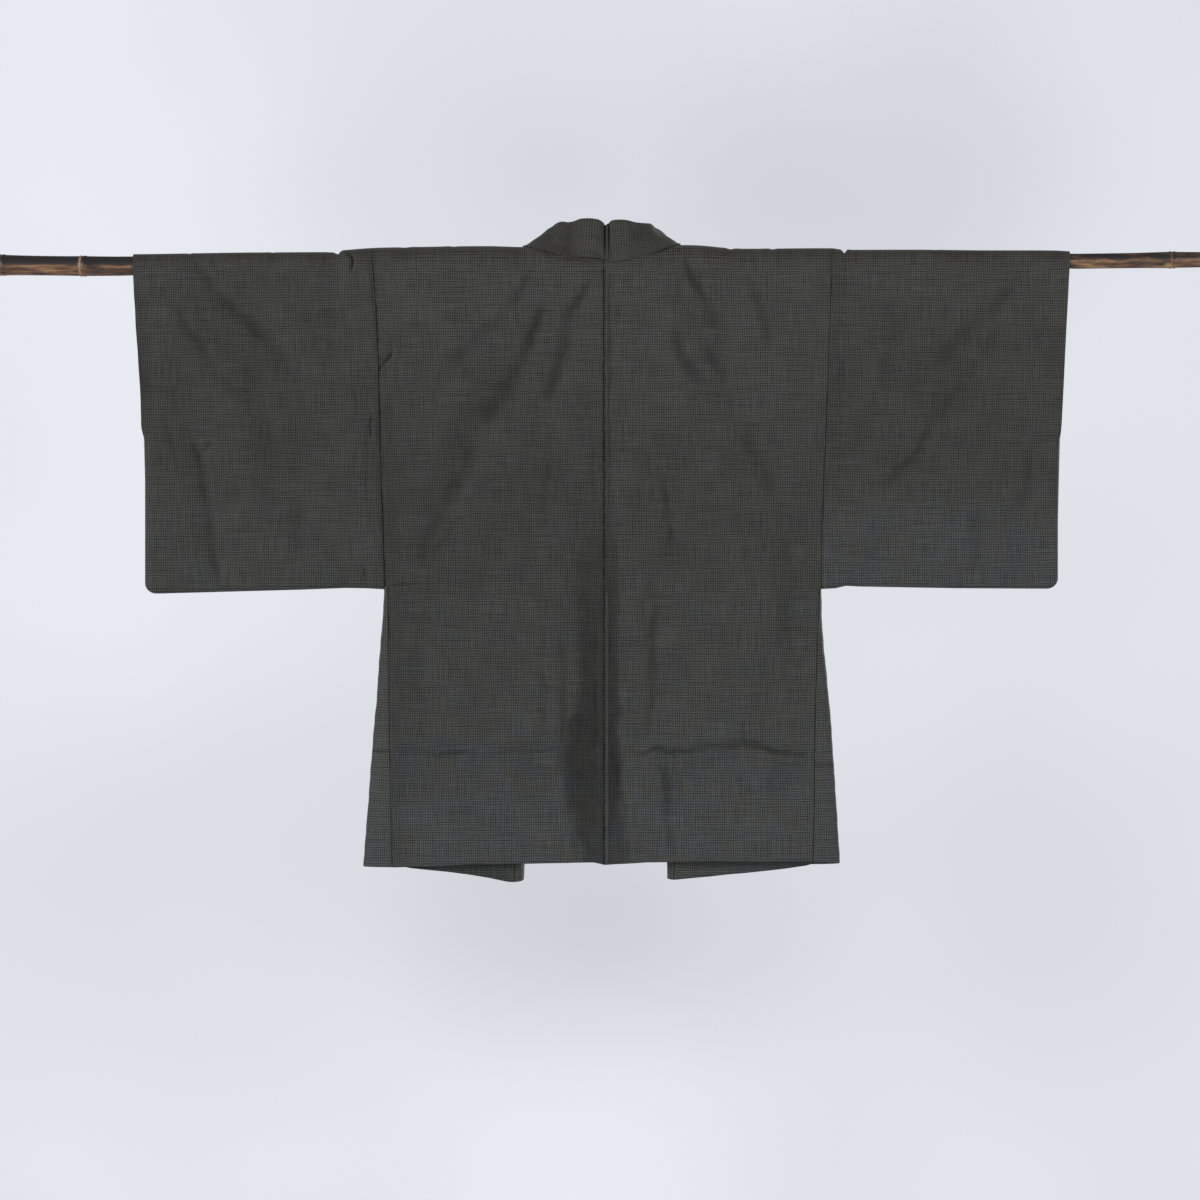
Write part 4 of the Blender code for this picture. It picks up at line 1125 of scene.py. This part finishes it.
def kasuri_silk(name, ground, thread):
    """Matt silk woven in a small kasuri check: light dots where dyed warp and weft meet on charcoal."""
    material, add = new_material(name)
    uv = add("UVMap", uv_map="weave")
    wander = add("TexNoise", {"Vector": uv, "Scale": 45.0, "Detail": 2.0})
    centred = add("VectorMath", {0: wander.outputs["Color"], 1: (0.5, 0.5, 0.5)}, operation="SUBTRACT")
    small = add("VectorMath", {0: centred, "Scale": 0.002}, operation="SCALE")
    place = add("VectorMath", {0: uv, 1: small}, operation="ADD")
    per_check = [2 * math.pi / (size * MM) for size in CHECK]
    turns = add("VectorMath", {0: place, 1: (*per_check, 1)}, operation="MULTIPLY")
    split = add("SeparateXYZ", {0: turns})
    # Warp and weft dots don't always meet: in places the check runs together into stripes
    waves = []
    for axis, turned in (("X", (0, 0, 0)), ("Y", (7, 3, 0))):
        moved = add("VectorMath", {0: uv, 1: turned}, operation="ADD")
        meet = add("TexNoise", {"Vector": moved, "Scale": 90.0, "Detail": 2.0})
        depth = add("MapRange", {"Value": meet, "From Min": 0.4, "From Max": 0.58, "To Min": 0.22})
        wave = add("Math", {0: split.outputs[axis]}, operation="COSINE")
        waves.append(add("Math", {0: wave, 1: depth, 2: 1.0}, operation="MULTIPLY_ADD"))
    dots = add("Math", {0: waves[0], 1: waves[1]}, operation="MULTIPLY")
    # Uneven threads, coarser than the real ones, so that they show
    slubs = []
    for scales in ((1 / SLUB_WIDTH, 1 / WARP_SLUB, 1), (1 / WEFT_SLUB, 1 / SLUB_WIDTH, 1)):
        stretched = add("VectorMath", {0: place, 1: scales}, operation="MULTIPLY")
        slubs.append(add("TexNoise", {"Vector": stretched, "Scale": 1.0, "Detail": 3.0, "Roughness": 0.6}))
    slub = add("Math", {0: slubs[0], 1: slubs[1]}, operation="ADD")
    faint = add("Math", {0: dots, 1: 0.48}, operation="MULTIPLY")
    woven = add("Math", {0: slub, 1: 1.2, 2: faint}, operation="MULTIPLY_ADD")
    share = add("MapRange", {"Value": woven, "From Min": 0.99, "From Max": 2.49})
    threads = add("Mix", {0: share, 6: colour(ground), 7: colour(thread)}, data_type="RGBA")
    # Dye lots: streaks of olive and of blue-grey along warp and weft
    lots = []
    for scales in ((240.0, 11.0, 1), (13.0, 260.0, 1)):
        stretched = add("VectorMath", {0: uv, 1: scales}, operation="MULTIPLY")
        lots.append(add("TexNoise", {"Vector": stretched, "Scale": 1.0, "Detail": 3.0, "Roughness": 0.6}))
    streaks = add("Mix", {0: 0.5, 2: lots[0], 3: lots[1]}, data_type="FLOAT")
    patches = add("TexNoise", {"Vector": uv, "Scale": 24.0, "Detail": 4.0})
    lot = add("Mix", {0: 0.5, 2: streaks, 3: patches}, data_type="FLOAT")
    tint = add("ValToRGB", {0: lot})
    fill_ramp(tint.color_ramp.elements, ((0.42, "#e6e6db"), (0.58, "#e4e5ed")))
    dyed = add("Mix", {0: 1.0, 6: threads.outputs[2], 7: tint}, data_type="RGBA", blend_type="MULTIPLY")
    for attribute, tone, least, most in (
        # Painted light from below makes the cloth paler and cooler; the rest keeps its warm dark dye
        ("worn", "#e7e0d1", 1.0, 0.0),
        # Painted shade along the top, browner, and the neck seam's brown strip
        ("warm", "#cdbb9f", 0.0, 0.5),
        # Painted shade in the bottoms of folds and seams, with the dye's uneven patches
        ("hollow", "#3a2a12", 0.0, 0.97),
    ):
        here = add("Attribute", attribute_name=attribute)
        amount = add("MapRange", {"Value": here.outputs["Fac"], "To Min": least, "To Max": most})
        dyed = add(
            "Mix", {0: amount, 6: dyed.outputs[2], 7: colour(tone)}, data_type="RGBA", blend_type="MULTIPLY"
        )
    rough = add("MapRange", {"Value": lot, "From Min": 0.3, "From Max": 0.7, "To Min": 0.66, "To Max": 0.8})
    bump = add("Bump", {"Height": woven, "Strength": 0.45, "Distance": 0.0002})
    shader = add("BsdfPrincipled", {
        "Base Color": dyed.outputs[2], "Roughness": rough, "Normal": bump, "IOR": 1.5,
        "Specular IOR Level": 0.35, "Sheen Weight": 0.12, "Sheen Roughness": 0.5,
    })
    add("OutputMaterial", {"Surface": shader})
    return material


def smoked_bamboo():
    """Bamboo smoked over a hearth: fibres along the culm, smoke-black streaks, the upper side painted dark
    with shade as well, hard half-gloss skin.
    """
    material, add = new_material("smoked_bamboo")
    place = add("TexCoord").outputs["Object"]
    drawn = add("VectorMath", {0: place, 1: (9.0, 900.0, 900.0)}, operation="MULTIPLY")
    fibre = add("TexNoise", {"Vector": drawn, "Scale": 1.0, "Detail": 4.0, "Roughness": 0.6})
    smeared = add("VectorMath", {0: place, 1: (17.0, 75.0, 95.0)}, operation="MULTIPLY")
    soot_and_shade = add("TexNoise", {"Vector": smeared, "Scale": 1.0, "Detail": 5.0, "Roughness": 0.62})
    high = add("Attribute", attribute_name="soot_and_shade")
    ring = add("Attribute", attribute_name="ring")
    mottled = add(
        "MapRange", {"Value": soot_and_shade, "From Min": 0.3, "From Max": 0.7, "To Min": 0.2, "To Max": 0.78},
        clamp=False,
    )
    level = add("Math", {0: high.outputs["Fac"], 1: 0.38, 2: mottled}, operation="MULTIPLY_ADD")
    fine = add("Math", {0: fibre, 1: 0.45, 2: level}, operation="MULTIPLY_ADD")
    skin = add("ValToRGB", {0: fine})
    fill_ramp(skin.color_ramp.elements, (
        (0.5, "#b08a62"), (0.63, "#8a6548"), (0.76, "#644836"), (0.88, "#3d302a"), (1.0, "#2b2725"),
    ))
    # A dark bud scar near the thick end, and a pale one on the last node
    scarred = skin.outputs[0]
    for centre, near_by, far, tone in (
        ((-0.7355, -0.0125, -0.0055), 0.0015, 0.0042, "#2c1d14"),
        ((0.8045, -0.0068, -0.0072), 0.0035, 0.0075, "#b08f60"),
    ):
        away = add("VectorMath", {0: place, 1: centre}, operation="DISTANCE").outputs["Value"]
        mark = add(
            "MapRange", {"Value": away, "From Min": near_by, "From Max": far, "To Min": 0.85, "To Max": 0.0}
        )
        scarred = add("Mix", {0: mark, 6: scarred, 7: colour(tone)}, data_type="RGBA").outputs[2]
    ringed = add("Mix", {0: ring.outputs["Fac"], 6: scarred, 7: colour("#ab8766")}, data_type="RGBA")
    rough = add(
        "MapRange", {"Value": soot_and_shade, "From Min": 0.3, "From Max": 0.75, "To Min": 0.36, "To Max": 0.58}
    )
    bump = add("Bump", {"Height": fibre, "Strength": 0.3, "Distance": 0.0003})
    shader = add("BsdfPrincipled", {
        "Base Color": ringed.outputs[2], "Roughness": rough, "Normal": bump, "IOR": 1.5,
        "Coat Weight": 0.1, "Coat Roughness": 0.3,
    })
    add("OutputMaterial", {"Surface": shader})
    return material


# ---------------------------------------------------------------- the pole
POLE_SIDES = 48
BORE_SHARE = 0.62
BORE_DEPTH = 34
SAWN_EDGE = 0.5  # rounding of the sawn ends
WAIST = 0.28  # how much slimmer the culm is between its nodes
# Rings of points round a node: (distance from the node, height above the culm, tan colour)
NODE_RINGS = (
    (-7, 0, 0), (-4.2, 0.12, 0), (-2.6, 0.45, 0.25), (-1.9, 0.95, 1), (-0.6, 1.05, 1), (0.2, 0.75, 1),
    (0.9, -0.1, 0), (1.9, 0.35, 0), (3.4, 0.95, 0), (5.4, 0.7, 0), (8.5, 0.1, 0),
)

# How much lower and how much thicker than straight the culm grew, by x
CULM_SAG = (
    (-910, 0), (-860, 0.2), (-780, 0.8), (-700, 1.0), (-650, 0.4), (-600, 0), (620, 0), (674, 1.6),
    (720, 1.2), (760, 0.8), (800, 0.4), (830, 0), (910, 0),
)
CULM_SWELL = (
    (-910, 0.5), (-860, 0.5), (-780, 0.3), (-690, 0.4), (-640, 0), (640, 0), (674, 0.6), (738, 0.7),
    (780, 1.0), (800, 1.5), (815, 1.2), (841, 0.8), (910, 0.6),
)


def culm_height(x):
    return pole_height(x) - smooth(CULM_SAG, x)[..., 0]


def pole_nodes():
    nodes = [END_NODE_X]
    x, internode = FIRST_NODE_X, FIRST_INTERNODE
    while x < POLE_LENGTH / 2 - 8:
        nodes.append(x)
        x += internode
        internode *= INTERNODE_GROWTH
    return nodes


def pole_profile():
    """Rings along the culm: (x, radius), from its left end to its right end."""
    end = POLE_LENGTH / 2
    nodes = pole_nodes()
    rings = [(-end + SAWN_EDGE, 0), (-end + 3, 0)]
    for node in nodes:
        rings += [(node + away, rise) for away, rise, _ in NODE_RINGS]
    for a, b in zip(nodes, nodes[1:]):
        for share in (0.2, 0.4, 0.6, 0.8):
            rings.append((a + (b - a) * share, -WAIST * math.sin(share * math.pi)))
    rings += [(end - 40, 0), (end - 3, 0), (end - SAWN_EDGE, 0)]
    return sorted((x, pole_radius(x) + rise + float(smooth(CULM_SWELL, x)[..., 0])) for x, rise in rings)


def pole(material):
    """The culm, drawn out ring by ring from a disc at the bottom of its left bore."""
    end = POLE_LENGTH / 2
    thick, thin = pole_radius(-end), pole_radius(end)
    steps = [(-end + BORE_DEPTH, thick * BORE_SHARE), (-end, thick * BORE_SHARE), (-end, thick - SAWN_EDGE)]
    steps += pole_profile()
    steps += [(end, thin - SAWN_EDGE), (end, thin * BORE_SHARE), (end - BORE_DEPTH, thin * BORE_SHARE)]
    bpy.ops.object.select_all(action="DESELECT")
    x, radius = steps[0]
    bpy.ops.mesh.primitive_circle_add(
        vertices=POLE_SIDES, radius=radius * MM, fill_type="NGON",
        location=(x * MM, 0, float(culm_height(x)) * MM), rotation=(0, math.pi / 2, 0),
    )
    piece = bpy.context.active_object
    piece.name = "bamboo_pole"
    bpy.ops.object.transform_apply(location=True, rotation=True, scale=True)
    bpy.ops.object.mode_set(mode="EDIT")
    for x_next, radius_next in steps[1:]:
        rise = float(culm_height(x_next) - culm_height(x))
        bpy.ops.mesh.extrude_region_move(
            TRANSFORM_OT_translate={"value": ((x_next - x) * MM, 0, rise * MM)}
        )
        if radius_next != radius:
            bpy.ops.transform.resize(
                value=(1, radius_next / radius, radius_next / radius),
                center_override=(x_next * MM, 0, float(culm_height(x_next)) * MM),
            )
        x, radius = x_next, radius_next
    bpy.ops.mesh.select_all(action="SELECT")
    bpy.ops.mesh.remove_doubles(threshold=0.00001)
    bpy.ops.mesh.normals_make_consistent(inside=False)
    bpy.ops.object.mode_set(mode="OBJECT")
    mesh = piece.data
    mesh.shade_smooth()
    points = np.zeros(len(mesh.vertices) * 3)
    mesh.vertices.foreach_get("co", points)
    points = points.reshape(-1, 3) / MM
    along = points[:, 0]
    tones = [(away, tan) for away, _, tan in NODE_RINGS]
    ring = np.maximum.reduce([straight(tones, along - node) for node in pole_nodes()])
    # The rings of the thick end are tan, those of the thin end as brown as the culm
    ring *= 1 - 0.75 * ease(along / 300)
    up = (points[:, 2] - culm_height(along)) / pole_radius(along)
    # Soot and painted shade on the upper side, which hung in the smoke and faces away from the lights:
    # nearly black at the thick end, red-brown at the thin one
    soot_and_shade = ease((up + 0.18) / 0.36) * (1 - 0.45 * ease(along / 300 + 0.5))
    add_attribute(mesh, "ring", ring)
    add_attribute(mesh, "soot_and_shade", soot_and_shade)
    mesh.materials.clear()
    mesh.materials.append(material)
    return piece


# ---------------------------------------------------------------- build the pieces
silk = kasuri_silk("kasuri_silk_charcoal", "#1b1c1b", "#70716f")
collar_silk = kasuri_silk("kasuri_silk_collar", "#1e1f1d", "#6d6d69")

for cloth, node, flat, area, rests_on in (
    (body_panel("left", silk), "body_left", (0.332, 1.80), 0.47, ["pole"]),
    (body_panel("right", silk), "body_right", (0.324, 1.80), 0.455, ["pole"]),
    (sleeve("left", silk), "sleeve_left", (0.343, 0.986), 0.332, ["pole"]),
    (sleeve("right", silk), "sleeve_right", (0.343, 0.98), 0.326, ["pole"]),
    (gusset("left", silk), "gusset_left", (0.08, 0.394), 0.018, ["body_left"]),
    (gusset("right", silk), "gusset_right", (0.08, 0.39), 0.018, ["body_right"]),
    (collar(collar_silk), "collar", (0.125, 2.06), None, ["body_left", "body_right"]),
):
    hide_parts(node)
    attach(cloth, "root")

culm = pole(smoked_bamboo())
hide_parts("pole")
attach(culm, "root")

# ---------------------------------------------------------------- studio
LENS = 85
SENSOR = 36
FRAME_WIDTH = 1716  # of the view, at the garment
VIEW_X = -6.4
VIEW_Z = -483.1
VIEW_DISTANCE = FRAME_WIDTH * LENS / SENSOR
FLOOR_RADIUS = 2.3
FLOOR_LEVEL = -1.95

# Painted light and shadow on the paper behind, in soft spots: (x, z) of the middle in mm at the garment,
# reach in mm, brightness
PAPER_LIGHT_AND_SHADOW = (
    ((-790, 250), 560, 0.06), ((-830, -240), 640, 0.09), ((-250, 110), 300, -0.07),
    ((80, 110), 300, -0.09), ((420, 110), 340, -0.15), ((0, 800), 520, -0.05), ((760, 820), 520, -0.05),
    ((-620, -930), 380, -0.09), ((-110, -930), 260, -0.085), ((130, -930), 260, -0.09),
    ((620, -930), 380, -0.07), ((-600, -1180), 500, 0.08), ((-250, -820), 300, -0.02),
    ((0, -1290), 340, 0.09), ((820, -250), 420, 0.03), ((560, -1180), 420, 0.05),
)


def plain_floor():
    """A pale floor that fades out before its edge, so that no horizon shows."""
    material, add = new_material("pale_floor")
    away = add("VectorMath", {0: add("TexCoord").outputs["Object"]}, operation="LENGTH")
    fade = add(
        "MapRange", {"Value": away.outputs["Value"], "From Min": 2.0, "From Max": 2.85},
        interpolation_type="SMOOTHSTEP",
    )
    paint = add("BsdfPrincipled", {"Base Color": colour("#d6d9e0"), "Roughness": 0.9})
    clear = add("BsdfTransparent")
    add("OutputMaterial", {"Surface": add("MixShader", {0: fade, 1: paint, 2: clear})})
    bpy.ops.object.select_all(action="DESELECT")
    bpy.ops.mesh.primitive_circle_add(
        vertices=96, radius=FLOOR_RADIUS, fill_type="NGON", location=(0, 0, FLOOR_LEVEL)
    )
    floor = bpy.context.active_object
    bpy.ops.object.transform_apply(location=True, rotation=True, scale=True)
    floor.name = "floor"
    floor.data.materials.append(material)


def studio_air():
    """Paper behind the garment with soft uneven light on it, and the light that comes from all round."""
    world = bpy.data.worlds.new("studio")
    bpy.context.scene.world = world
    world.use_nodes = True
    world.node_tree.nodes.clear()
    add = partial(add_node, world.node_tree)
    way = add("TexCoord").outputs["Generated"]
    total = None
    for (x, z), reach, strength in PAPER_LIGHT_AND_SHADOW:
        middle = Vector((x - VIEW_X, VIEW_DISTANCE, z - VIEW_Z)).normalized()
        away = add("VectorMath", {0: way, 1: middle}, operation="DISTANCE").outputs["Value"]
        wide = reach / VIEW_DISTANCE * 1.25
        spot = add(
            "MapRange", {"Value": away, "From Max": wide, "To Min": strength, "To Max": 0.0},
            interpolation_type="SMOOTHERSTEP",
        )
        total = spot if total is None else add("Math", {0: total, 1: spot}, operation="ADD")
    cloud = add("TexNoise", {"Vector": way, "Scale": 5.0, "Detail": 2.0})
    clouds = add(
        "MapRange", {"Value": cloud, "From Min": 0.3, "From Max": 0.7, "To Min": 0.96, "To Max": 1.04}
    )
    bright = add("Math", {0: total, 1: clouds}, operation="ADD")
    rays = add("LightPath")
    seen = add("Background", {"Color": colour("#dfe2e9"), "Strength": bright})
    # Little light comes from straight above
    upward = add("SeparateXYZ", {0: way}).outputs["Z"]
    height = add(
        "MapRange", {"Value": upward, "From Min": -0.1, "From Max": 0.7, "To Min": 0.5, "To Max": 0.26},
        interpolation_type="SMOOTHSTEP",
    )
    lit = add("Background", {"Color": colour("#dfe2e9"), "Strength": height})
    either = add("MixShader", {0: rays.outputs["Is Camera Ray"], 1: lit, 2: seen})
    add("OutputWorld", {"Surface": either})


plain_floor()
for name, place, target, size, power in (
    ("softbox_back_left", (-4.4, -3.4, 0.9), (-0.1, 0, -0.4), (1.9, 2.2), 134),
    ("softbox_back_right", (3.0, -3.4, 0.1), (0.2, 0, -0.4), (2.2, 2.0), 55),
    ("softbox_front_left", (-3.0, 3.4, 0.2), (0, 0, -0.4), (2.2, 2.0), 50),
    ("softbox_front_right", (4.4, 3.4, 0.9), (0, 0, -0.4), (1.9, 2.2), 165),
):
    light = bpy.data.lights.new(name, "AREA")
    light.shape = "RECTANGLE"
    light.size, light.size_y = size
    light.energy = power
    lamp = bpy.data.objects.new(name, light)
    bpy.context.scene.collection.objects.link(lamp)
    lamp.location = place
    lamp.rotation_euler = (Vector(target) - Vector(place)).to_track_quat("-Z", "Y").to_euler()
studio_air()

camera_data = bpy.data.cameras.new("camera")
camera_data.lens = LENS
camera_data.sensor_width = SENSOR
camera = bpy.data.objects.new("camera", camera_data)
bpy.context.scene.collection.objects.link(camera)
camera.location = (VIEW_X * MM, -VIEW_DISTANCE * MM, VIEW_Z * MM)
camera.rotation_euler = (math.pi / 2, 0, 0)
bpy.context.scene.camera = camera
bpy.context.scene.view_settings.view_transform = "Standard"
